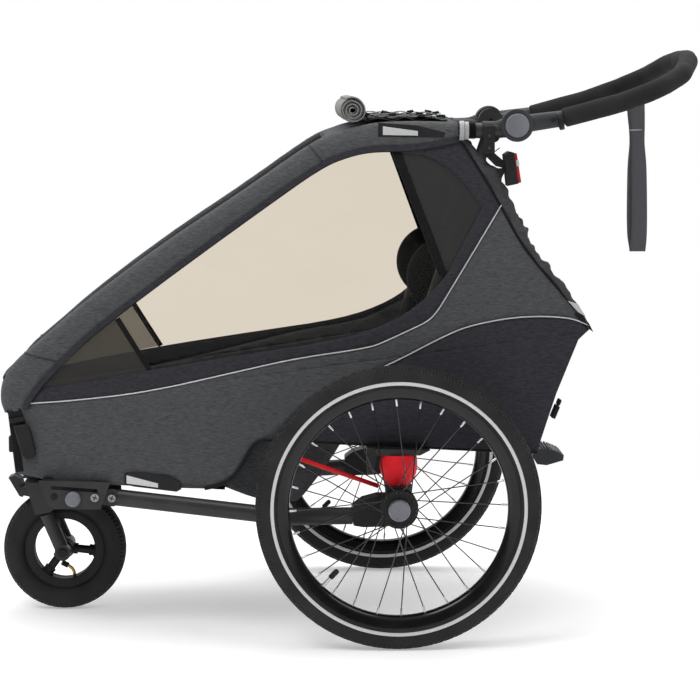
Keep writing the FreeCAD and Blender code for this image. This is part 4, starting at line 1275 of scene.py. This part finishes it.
ROOF_TAG = [(-33, 893), (81, 892), (83, 901), (64, 906), (36, 913), (-33, 918)]
ROOF_TAPE = [(-25, 896), (36, 895), (36, 903), (-25, 911)]
FOOT_TAG = [(-487, 268), (-469, 264), (-393, 256), (-384, 261), (-387, 275), (-405, 285), (-469, 291),
            (-487, 287)]
FOOT_TAPE = [(-483, 270), (-426, 263), (-426, 271), (-483, 285)]
REAR_LABEL = [(300, 606), (318, 586), (332, 578), (318, 600)]
REAR_CORNER = [(318, 588), (338, 566), (346, 550), (330, 562), (312, 582)]


def make_tags():
    for word, side in SIDES:
        for name, base, tape in (("roof_tag", ROOF_TAG, ROOF_TAPE), ("foot_tag", FOOT_TAG, FOOT_TAPE)):
            out = 4 if name == "roof_tag" else 2
            holder = plastic(name + "_" + word, tag_shape(base, side, -1, out + 2.2), "cabin", 1)
            strip = piece(name + "_tape_" + word, *tag_shape(tape, side, out, out + 3.0), "bright_tape",
                          "cabin", "black_plastic")
            soften(strip, 0.4)
            if name == "roof_tag":
                crumples(holder)
                crumples(strip)
            else:
                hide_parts("tags_and_buckles")
        label = tag_shape(REAR_LABEL, side, -1, 2.5)
        crumples(piece("rear_label_" + word, *label, "tape", "cabin", "webbing"))
        corner = tag_shape(REAR_CORNER, side, -2, 2)
        crumples(piece("rear_corner_" + word, *corner, "webbing", "cabin", "webbing"))


STRAP_LINE = [(-686, 400), (-682, 388), (-677, 374), (-672, 356), (-668, 340)]
BUCKLE = [(-687, 372), (-663, 376), (-656, 366), (-647, 322), (-650, 314), (-663, 310), (-673, 318),
          (-682, 352)]
STRAP_SLIDE = [(-696, 384), (-668, 388), (-667, 380), (-695, 376)]


def make_front_buckles():
    """Side-release buckles on webbing that pull the hood down to the nose."""
    for word, side in SIDES:
        line = even(smooth(STRAP_LINE), 20)
        web = piece("front_strap_" + word, *ribbon(line, side, 24, 1.5, 1.2), "webbing", "cabin", "webbing")
        thicken(web, 1.4)
        plastic("front_buckle_" + word, tag_shape(BUCKLE, side, 2.5, 12), "cabin", 3, 3)
        plastic("strap_slide_" + word, tag_shape(STRAP_SLIDE, side, 2.5, 8), "cabin", 1.5)
        x, z = at(-694, 335)
        hook = box_shape((x - 5, -10, z - 15), (x + 5, 10, z + 15))
        hook = moved(hook, Matrix.Translation((0, side * 146, 0)))
        plastic("strap_hook_" + word, hook, "cabin", 3, 3)
        band = even([(-690, 388), (-678, 287)], 20)
        edge = piece("nose_band_" + word, *ribbon(band, side, 15, 0.4, 0.8), "black_cloth", "cabin",
                     "body_cloth")
        thicken(edge, 1.2)


def make_bolt_slot_shade():
    """Painted shade: dark crosses on the heads of the bolts on the front side plates stand in for the shade
    inside their cross slots.
    """
    for word, side in SIDES:
        slot_shade_bars = []
        for distance, height, face in ((-540, 245, 211), (-510, 243, 206)):
            x, z = at(distance, height)
            for turn in (20, 110):
                bar = box_shape((-0.9, -0.4, -5), (0.9, 0.4, 5))
                place = Matrix.Translation((x, side * face, z)) @ Matrix.Rotation(math.radians(turn), 4, "Y")
                slot_shade_bars.append(moved(bar, place))
        # black plastic bars painted on the bolt heads as the shade in their cross slots
        piece("bolt_slot_shade_" + word, *join_shapes(slot_shade_bars), "black_plastic", "cabin", "black_plastic")


def make_rear_buckles():
    """Small tabs low on the rear wall that hold the cover's straps."""
    for word, side in SIDES:
        x, z = at(292, 402)
        turn = Matrix.Translation((x - 2, side * 205, z)) @ Matrix.Rotation(math.radians(22), 4, "Y")
        blocks = (box_shape((-4, -14, -16), (4, 14, 8)), box_shape((-3, -11, 9), (3, 11, 20)))
        shapes = [moved(block, turn) for block in blocks]
        plastic("rear_buckle_" + word, join_shapes(shapes), "cabin", 1.5)


# ---------------------------------------------------------------- wheels

def tyre_relief(width, outer, blocks, depth, knobs):
    """Tread blocks: cut grooves into the crown and the shoulders."""
    def relief(turn, along, radius):
        reach = abs(along) / width
        if radius < outer - 8:
            return 0.0
        phase = turn * blocks / (2 * math.pi)
        if reach > 0.62:
            return -depth if (phase * knobs) % 1 > 0.6 else 0.0
        if reach > 0.52:
            return -depth
        if reach > 0.16:
            saw = abs(((phase + (0.5 if along > 0 else 0) + reach) % 1) - 0.5) * 2
            return -depth * (1 if saw > 0.72 else 0)
        return 0.0 if reach > 0.05 else -depth
    return relief


def tyre_profile(width, outer, bead):
    half = width / 2
    side = [(0.50, bead), (0.72, bead + 2), (0.9, bead + 6.5), (0.99, bead + 13), (1.0, bead + 19),
            (0.97, outer - 14), (0.93, outer - 9.5), (0.92, outer - 7.9)]
    crown = []
    for number in range(17):
        reach = 0.9 - 0.9 * number / 16
        crown.append((reach, outer - 7.2 * (reach / 0.9) ** 2.6))
    right = [(half * share, radius) for share, radius in side + crown]
    left = [(-along, radius) for along, radius in reversed(right[:-1])]
    inner = [(-half * 0.45, bead + 2.5), (-half * 0.75, bead + 12), (-half * 0.6, outer - 9),
             (0, outer - 6.5), (half * 0.6, outer - 9), (half * 0.75, bead + 12),
             (half * 0.45, bead + 2.5)]
    return right + left + inner


def make_tyre(name, centre, width, outer, bead, blocks, depth, segments, body, knobs):
    profile = tyre_profile(width, outer, bead)
    relief = tyre_relief(width / 2, outer, blocks, depth, knobs)
    verts, faces = lathe_shape(profile, segments, centre, relief=relief)
    tyre = piece(name + "_tread", verts, faces, "rubber", body, "tyre_rubber", sharp=28)
    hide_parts(name)


def make_big_wheels():
    for word, side in SIDES:
        body = "wheel_" + word
        centre = Vector((AXLE_X, side * TRACK, WHEEL_Z)) / MM
        make_tyre("tyre_" + word, centre, 47, 250, 210.5, 84, 2.4, 840, body, 3)
        rings = []
        for sign in (-1, 1):
            ring = [(sign * 22.6, 217.6), (sign * 23.6, 218.0), (sign * 24.0, 220.7), (sign * 24.0, 223.2),
                    (sign * 23.2, 223.8)]
            rings.append(lathe_shape(ring, 220, centre, closed=True))
        piece("tyre_ring_" + word, *join_shapes(rings), "tyre_ring", body, "tyre_rubber")
        make_rim(word, centre, body)
        make_spokes(word, centre, body)
        make_valve(word, centre, body)


def both_sides(half):
    """A wheel profile from its half, which starts at the middle."""
    return [(-along, radius) for along, radius in reversed(half[1:])] + half


def make_rim(word, centre, body):
    half = [(0.0, 190.6), (6.0, 191.2), (10.0, 194.2), (12.4, 199.5), (13.4, 205.5), (14.2, 208.6),
            (14.6, 211.4), (13.4, 212.2), (12.0, 211.0), (11.8, 203.5)]
    rim = piece("rim_shell_" + word, *lathe_shape(both_sides(half), 200, centre), "gloss_black", body,
                "frame_aluminium", sharp=50)
    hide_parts("rim_" + word)


def make_spokes(word, centre, body):
    """28 crossed spokes with bent heads, and their nipples."""
    count, phase, lean = 28, math.radians(1.4), math.radians(32)
    root, tip, flange = 29.5, 191, 19.5
    spoke_head = [(-0.2, 0.01), (-0.2, 2.2), (0.7, 2.0), (1.3, 1.2), (1.5, 0.01)]
    spokes, nipples, heads = [], [], []
    for number in range(count):
        turn = phase + 2 * math.pi * number / count
        out = 1 if number % 2 else -1
        swing = lean if number % 4 < 2 else -lean
        foot = centre + Vector((root * math.cos(turn + swing), out * flange, root * math.sin(turn + swing)))
        head = centre + Vector((tip * math.cos(turn), out * 3, tip * math.sin(turn)))
        along = (head - foot).normalized()
        outside = foot + Vector((0, out * 3.2, 0))
        spokes.append(tube_shape([outside, foot + Vector((0, out * 1.2, 0)) + along * 1.5, foot + along * 5,
                                  head - along * 11], 1.05, 8))
        nipples.append(tube_shape([head - along * 13, head - along * 12, head - along * 3, head - along * 1],
                                  lambda part: 1.5 if part == 0 else 2.1, 10))
        heads.append(lathe_shape(spoke_head, 10, outside, axis=(0, out, 0), closed=False))
    wires = piece("spoke_set_" + word, *join_shapes(spokes), "spoke_steel", body, "spoke_steel")
    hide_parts("spokes_" + word)
    piece("nipple_set_" + word, *join_shapes(nipples), "steel", body, "spoke_steel")
    piece("spoke_heads_" + word, *join_shapes(heads), "spoke_steel", body, "spoke_steel")


def make_valve(word, centre, body):
    turn = math.radians(226)
    inward = Vector((-math.cos(turn), 0, -math.sin(turn)))
    base = centre - inward * 192
    stem = lathe_shape([(-1, 0.1), (-1, 5), (2, 5), (3, 3), (24, 3), (24, 0.1)], 16, base, axis=inward,
                       start=(0, 1, 0), closed=False)
    cap = lathe_shape([(20, 0.1), (20, 4.2), (22, 4.8), (36, 4.6), (39, 3.4), (40, 0.1)], 16, base,
                      axis=inward, start=(0, 1, 0), closed=False,
                      relief=lambda angle, along, radius: 0.3 * math.cos(angle * 8) if radius > 4 else 0)
    piece("valve_stem_" + word, *stem, "steel", body, "steel")
    piece("valve_cap_" + word, *cap, "black_plastic", body, "black_plastic")


def make_front_wheel():
    centre = middle("front_tyre") / MM
    make_tyre("front_tyre", centre, 50, 115, 74, 44, 2.4, 528, "front_wheel", 2)
    half = [(0.0, 59.5), (8.0, 58.5), (14.5, 57.0), (16.0, 58.5), (16.5, 66.0), (16.8, 72.5), (15.5, 75.2),
            (13.0, 74.0)]
    shapes = [lathe_shape(both_sides(half), 120, centre)]
    hub = [(-28, 5.2), (-28, 14), (-25, 17), (-14, 17.5), (-10, 19), (10, 19), (14, 17.5), (25, 17),
           (28, 14), (28, 5.2)]
    spoke = [(14, 0.1), (14, 10.5), (24, 10.5), (25, 7.6), (45, 7.8), (46, 10.6), (49, 11), (50, 10.2),
             (53, 10.2), (54, 12.5), (60, 12.5), (60, 0.1)]
    shapes.append(lathe_shape(hub, 48, centre))
    for angle in (-6, 114, 234):
        turn = math.radians(angle)
        out = Vector((math.cos(turn), 0, math.sin(turn)))
        shapes.append(lathe_shape(spoke, 28, centre, axis=out, start=(0, 1, 0), closed=False))
    rim = piece("front_wheel_shell", *join_shapes(shapes), "black_plastic", "front_wheel", "black_plastic")
    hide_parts("front_rim")
    bend = [(18, -58.5), (19, -50), (16, -43), (10, -38), (5, -35.5)]
    path = [centre + Vector((x - 3, 9, z)) for x, z in bend]
    stem = tube_shape(spaced(rounded(path, 3), 24), 3.1, 12)
    piece("front_valve", *stem, "brass", "front_wheel", "steel")
    end, before = path[-1], path[-2]
    cap = lathe_shape([(-3, 0.1), (-3, 5.2), (9, 5.2), (11, 4.0), (11, 0.1)], 14, end, axis=end - before,
                      start=(0, 1, 0), closed=False)
    piece("front_valve_cap", *cap, "black_plastic", "front_wheel", "black_plastic")


# ---------------------------------------------------------------- springs

def make_springs():
    for word in ("left", "right"):
        low, high = (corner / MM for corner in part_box("elastomer_" + word))
        centre = Vector(((low.x + high.x) / 2, (low.y + high.y) / 2, 0))
        profile = [(low.z, 0.1), (low.z, 20), (low.z + 1.5, 21.5), (low.z + 9, 26.5), (low.z + 20, 31.0),
                   (low.z + 31, 33.4), (low.z + 42, 33.2), (low.z + 50, 32.2), (low.z + 53.5, 31.4),
                   (high.z, 30), (high.z, 0.1)]
        shape = lathe_shape(profile, 72, centre, axis=(0, 0, 1), start=(1, 0, 0), closed=False)
        barrel = piece("barrel_spring_" + word, *shape, "red_rubber", None, "red_elastomer")
        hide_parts("elastomer_" + word)
        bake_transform(barrel)
        low, high = (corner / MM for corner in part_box("leaf_spring_" + word))
        y = (low.y + high.y) / 2
        ends = [Vector((low.x + 1, y, high.z - 7)), Vector((high.x - 2, y, low.z + 4))]
        leaf = piece("leaf_bar_" + word, *tube_shape(spaced(ends, 24), 4.4, 12, squash=(1.1, 0.95)),
                     "red_steel", None, "red_steel")
        soften(leaf, 0.5)
        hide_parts("leaf_spring_" + word)
        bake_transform(leaf)


# ---------------------------------------------------------------- handle details

def make_joint_rings():
    """Round rims of the ratchet joints, and the necks that reach to both tubes."""
    for word, side in SIDES:
        centre = middle("handle_button_" + word) / MM
        low, high = (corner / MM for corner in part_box("handle_button_" + word))
        face = max(abs(low.y), abs(high.y))
        profile = [(face - 9, 21.9), (face - 9, 27), (face - 6, 28.6), (face - 3.2, 28.2),
                   (face - 2.4, 26.6), (face - 2.2, 22.6), (face - 3, 21.6)]
        spot = Vector((centre.x, 0, centre.z))
        ring = lathe_shape(profile, 96, spot, axis=(0, side, 0))
        piece("joint_rim_" + word, *ring, "dark_plastic", "rear_frame", "frame_aluminium")
        neck = [Vector((centre.x - back, side * half, centre.z - drop))
                for back, half, drop in ((84, 283, 9), (56, 283, 9), (30, 284, 7), (4, 284, 0))]
        shape = tube_shape(spaced(rounded(neck, 2), 26),
                           lambda part: 13.6 + 9 * clamp((part - 0.5) / 0.5) ** 1.5, 28, squash=(0.62, 1))
        piece("joint_neck_" + word, *shape, "dark_plastic", "rear_frame", "frame_aluminium")
        x, z = at(124, 904)
        ribs = [(along, 13.4 + (1.9 if along % 2 else 0)) for along in range(0, 13)]
        ribs = [(0, 12.9)] + ribs + [(13, 12.9)]
        spot = Vector((x, side * 283, z))
        sleeve = lathe_shape(ribs, 48, spot, axis=(1, 0, 0), start=(0, 1, 0))
        piece("ribbed_sleeve_" + word, *sleeve, "black_plastic", "rear_frame", "black_plastic")
        make_housing(word, side, centre)


def make_housing(word, side, centre):
    """Flat shell that grips the bar's end, with its screw."""
    x, z = at(290, 925)
    end = Vector((x, side * 280, z))
    start = Vector((centre.x + 16, side * 283, centre.z + 3))
    path = [start, start.lerp(end, 0.35), start.lerp(end, 0.7), end]
    shape = tube_shape(spaced(path, 20), lambda part: 15.5 - 1.5 * part, 24, squash=(0.8, 1))
    piece("bar_shell_" + word, *shape, "dark_plastic", "handle", "frame_aluminium")
    spot = start.lerp(end, 0.72)
    screw = lathe_shape([(-2, 0.1), (-2, 4.6), (1.2, 4.4), (1.6, 3.6), (1.0, 2.0), (1.0, 0.1)], 20,
                        spot + Vector((0, side * 11.6, 0)), axis=(0, side, 0), closed=False)
    piece("shell_screw_" + word, *screw, "black_plastic", "handle", "steel")


def make_grip_ends():
    """Rubber end rings of the foam."""
    for word, side in SIDES:
        x, z = at(285, 921)
        along = Vector((115, 0, 34)).normalized()
        base = Vector((x, side * 281, z))
        ring = lathe_shape([(-5, 11.2), (-5, 15.0), (-4, 16.2), (2, 16.8), (3, 16.2), (3, 11.2)], 40,
                           base, axis=along, start=(0, 1, 0))
        piece("grip_end_" + word, *ring, "black_plastic", "handle", "black_plastic")


def make_foam():
    """Foam tube of the grip, with the small dents that use leaves."""
    foam = inflated("grip_foam", "foam_grip", "handle", "foam", pressure=0, shrink=0, voxel=3)
    relax = foam.modifiers.new("smooth", "SMOOTH")
    relax.iterations = 4
    bake_modifiers(foam)
    for vert in foam.data.vertices:
        dent = noise.noise(Vector(vert.co) * 45) * 0.5 + noise.noise(Vector(vert.co) * 160) * 0.2
        vert.co += Vector(vert.normal) * dent * MM
    foam.data.shade_smooth()


def make_strap_loop():
    """Wrist strap: one webbing band hung over the grip, folded flat at the bottom."""
    low, high = (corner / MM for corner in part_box("wrist_strap"))
    x = (low.x + high.x) / 2
    y = (low.y + high.y) / 2
    top, bottom = high.z - 6, low.z
    outer = [(x - 8, y + 16, top - 4), (x - 6, y + 6, top - 44), (x - 5, y + 2.2, top - 62),
             (x - 7, y + 5, top - 150), (x - 6, y + 6.5, bottom + 40), (x, y + 4.5, bottom + 8),
             (x, y + 1.8, bottom + 1.2),
             (x, y - 1.2, bottom + 4), (x + 3, y - 2.5, bottom + 40), (x + 1, y - 3, top - 150),
             (x - 3, y - 1.6, top - 62), (x - 5, y - 6, top - 44), (x - 8, y - 18, top - 4)]
    path = spaced(rounded(outer, 3), 150)
    verts = []
    for index, point in enumerate(path):
        part = index / (len(path) - 1)
        width = 15.5
        for waist in (0.14, 0.86):
            width -= 2.5 * math.exp(-((part - waist) / 0.05) ** 2)
        turn = 0.25 * math.sin(part * math.pi * 2)
        for share in (-1, -0.5, 0, 0.5, 1):
            reach = width * share
            verts.append(point + Vector((reach * math.cos(turn), reach * math.sin(turn) * 0.4, 0)))
    strap = piece("strap_loop", verts, grid_faces(len(path), 5), "grey_webbing", "handle", "webbing")
    thicken(strap, 1.6, 0)
    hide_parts("wrist_strap")
    cloth(strap, "foam_grip", held="hung")
    stitch = tube_shape([Vector((x - 18, y - 3.2, top - 62)), Vector((x + 9, y - 3.2, top - 61))], 0.9, 8)
    piece("strap_stitch", *stitch, "tape", "handle", "webbing")


def make_lamp():
    """Red lens, white patch, clamp screws and cable ties of the tail light."""
    y = -283
    lens = prism_shape([at(196, 866.6), at(207, 865), at(215.5, 814), at(204, 811)], y - 20.5, y + 20.5)
    soften(piece("lamp_lens", *lens, "lens", "rear_frame", "lamp_plastic"), 1.5)
    patch = prism_shape([at(205.6, 853), at(210.2, 853), at(211.6, 844), at(207, 842)], y - 21, y + 21)
    piece("lamp_patch", *patch, "tape", "rear_frame", "lamp_plastic")
    x, z = at(159, 886)
    pillar = box_shape((x - 10, y - 17.5, z - 22), (x + 10, y - 6, z + 27))
    screws = [lathe_shape([(-2, 0.1), (-2, 3.4), (2.4, 3.0), (3.0, 0.1)], 14,
                          Vector((x, y - 17.5, z + lift)), axis=(0, -1, 0), closed=False)
              for lift in (9, -12)]
    plastic("lamp_clamp", pillar, "rear_frame", 2)
    piece("lamp_screws", *join_shapes(screws), "dark_plastic", "rear_frame", "black_plastic")
    ties = []
    for tail, tip in (((162, 862), (178, 874)), ((186, 834), (178, 822)), ((172, 836), (182, 824))):
        start, end = at(*tail), at(*tip)
        line = [Vector((start[0], y - 8, start[1])), Vector((end[0], y - 10, end[1]))]
        ties.append(tube_shape(line, 0.9, 6, squash=(2.2, 1)))
    piece("cable_ties", *join_shapes(ties), "black_plastic", "rear_frame", "black_plastic")


def make_pedal_ribs():
    low, high = (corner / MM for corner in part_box("brake_pedal"))
    ribs = []
    for number in range(7):
        x = high.x - 6 - number * 5.6
        top = 296.5 + min(9, number * 2.3)
        ribs.append(box_shape((x - 1.3, low.y + 6, top - 5), (x + 1.3, high.y - 6, top + 2.2)))
    soften(piece("pedal_ribs", *join_shapes(ribs), "grey_plastic", "brake", "black_plastic"), 0.6)


# ---------------------------------------------------------------- inside

def inflated(name, node, body, paint, pressure=4.0, cap=9, shrink=3, voxel=5):
    """A cushion: the CAD pad shrunk a little, blown up as cloth, and capped."""
    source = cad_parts[node]
    cushion = bpy.data.objects.new(name, source.data.copy())
    bpy.context.scene.collection.objects.link(cushion)
    cushion.data.materials.clear()
    centre = sum((vert.co for vert in cushion.data.vertices), Vector()) / len(cushion.data.vertices)
    for vert in cushion.data.vertices:
        offset = vert.co - centre
        vert.co -= offset.normalized() * shrink * MM
    remesh = cushion.modifiers.new("remesh", "REMESH")
    remesh.mode = "VOXEL"
    remesh.voxel_size = voxel * MM
    bake_modifiers(cushion)
    rest = np.array([vert.co for vert in cushion.data.vertices])
    if pressure:
        cloth = cushion.modifiers.new("cloth", "CLOTH")
        cloth.settings.quality = 5
        cloth.settings.use_pressure = True
        cloth.settings.uniform_pressure_force = pressure
        cloth.settings.effector_weights.gravity = 0
        for number in range(1, 16):
            bpy.context.scene.frame_set(number)
        bake_modifiers(cushion)
        bpy.context.scene.frame_set(1)
        for vert, start in zip(cushion.data.vertices, rest):
            offset = Vector(vert.co) - Vector(start)
            if offset.length > cap * MM:
                vert.co = Vector(start) + offset.normalized() * cap * MM
    cushion.data.materials.append(PAINT[paint])
    cushion.data.shade_smooth()
    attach(cushion, body)
    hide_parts(node)
    return cushion


def dimple(cushion, centres, axis, depth, width):
    """Sews channels: presses the surface in along lines across the pad."""
    for vert in cushion.data.vertices:
        for centre in centres:
            gap = (Vector(vert.co) - centre).dot(axis)
            vert.co -= Vector(vert.normal) * depth * MM * math.exp(-(gap / (width * MM)) ** 2)


def back_frame():
    """Foot, upward and forward directions of the backrest's plane."""
    foot = at(-10, 385)
    top = at(160, 899)
    up = Vector((top[0] - foot[0], 0, top[1] - foot[1])).normalized()
    return Vector((foot[0], 0, foot[1])), up, Vector((-up.z, 0, up.x))


def make_inside():
    seat = inflated("seat_pad", "seat_cushion", "cabin", "seat_cloth", cap=8)
    dimple(seat, [Vector((0, 0, 0))], Vector((0, 1, 0)), 7, 9)
    back = inflated("back_pad", "backrest", "rear_frame", "seat_cloth", cap=7)
    foot, up, front = back_frame()
    dimple(back, [Vector((0, 0, 0))], Vector((0, 1, 0)), 7, 9)
    for share in (0.35, 0.65):
        spot = (foot + up * (72 + 323 * share)) * MM
        dimple(back, [spot], up, 3, 7)
    squash_back(back)
    webs, buckles = [], []
    for seat_y in (-100, 100):
        for shift in (-34, 34):
            path = []
            for step in range(30):
                part = step / 29
                lift = -29 + 5 * math.sin(math.pi * part)
                path.append(foot + up * (232 - 150 * part) + front * lift
                            + Vector((0, seat_y + shift * (1 - 0.55 * part), 0)))
            webs.append(tube_shape(path, 1.2, 8, squash=(10, 1)))
        shape = box_shape((-6, -22, -24), (6, 22, 24))
        turn = Matrix.Translation(foot + up * 112 + front * -22 + Vector((0, seat_y, 0)))
        lean = math.atan2(up.x, up.z)
        buckles.append(moved(shape, turn @ Matrix.Rotation(lean, 4, "Y")))
    heads = [head_pad(side, foot, front) for side in (-1, 1)]
    rest = piece("headrest_pads", *join_shapes(heads), "seat_cloth", "rear_frame", "seat_cloth", sharp=80)
    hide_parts("headrests")
    squash_back(rest)
    straps = piece("harness_straps", *join_shapes(webs), "webbing", "rear_frame", "webbing")
    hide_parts("harness")
    squash_back(straps)
    clasp = plastic("harness_buckles", join_shapes(buckles), "rear_frame", 5, 3)
    squash_back(clasp)


def head_pad(side, foot, front):
    """Round side pad of the head support, flat where it meets the backrest."""
    x, z = at(92, 641)
    profile = [(178, 0.1), (177, 40), (178, 58), (182, 67), (190, 71), (196, 71), (204, 67), (208, 58),
               (209, 40), (208, 0.1)]
    verts, faces = lathe_shape(profile, 72, Vector((x, 0, z)), axis=(0, side, 0), start=(1, 0, 0),
                               closed=False)
    limit = foot.dot(front) - 32.6
    for index, vert in enumerate(verts):
        short = limit - vert.dot(front)
        if short > 0:
            verts[index] = vert + front * short
    return verts, faces


def squash_back(thing):
    """Gives a pad on the posts its own copy of its mesh."""
    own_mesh(thing)


# ---------------------------------------------------------------- CAD nodes that stay

KEPT = {
    "black_paint": ["side_rail_left", "side_rail_right", "cross_tubes", "front_bracket_left",
                    "front_bracket_right", "caster_receiver", "spring_seats", "hoop_hinges",
                    "suspension_arm_left", "suspension_arm_right", "fork_crown", "fork_legs",
                    "front_hoop", "rear_hoop", "handlebar",
                    "brake_hanger"],
    "black_plastic": ["axle_carrier_left", "axle_carrier_right", "hub_left", "hub_right", "handle_joints",
                      "tail_light", "front_axle"],
    "dark_plastic": ["swivel_lock", "brake_pedal"],
    "grey_plastic": ["hub_button_left", "hub_button_right", "drawbar_knob", "handle_button_left",
                     "handle_button_right"],
    "silver_plastic": ["roof_clips"],
    "bolt_steel": ["frame_bolts", "stub_axle_left", "stub_axle_right"],
    "board": ["floor_board"],
}
BEVELS = {"front_bracket_left": 1, "front_bracket_right": 1, "fork_crown": 3, "swivel_lock": 1.5,
          "brake_pedal": 2, "axle_carrier_left": 1.5, "axle_carrier_right": 1.5, "tail_light": 1.5,
          "drawbar_knob": 1, "hub_button_left": 1.2, "hub_button_right": 1.2, "spring_seats": 1.5,
          "frame_bolts": 0.6, "caster_receiver": 2, "hub_left": 0.8, "hub_right": 0.8, "brake_hanger": 1.5}


def paint_nodes():
    for paint, names in KEPT.items():
        for name in names:
            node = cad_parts[name]
            node.data.materials.clear()
            node.data.materials.append(PAINT[paint])
            if name in BEVELS:
                soften(node, BEVELS[name])


make_camera()
make_stage()
PAINT = make_materials()
paint_nodes()
make_hood()
make_side_panels()
make_walls()
make_rear_cover()
make_roll()
make_roof_folds()
make_tags()
make_front_buckles()
make_bolt_slot_shade()
make_rear_buckles()
make_big_wheels()
make_front_wheel()
make_springs()
make_joint_rings()
make_grip_ends()
make_foam()
make_strap_loop()
make_lamp()
make_pedal_ribs()
make_inside()
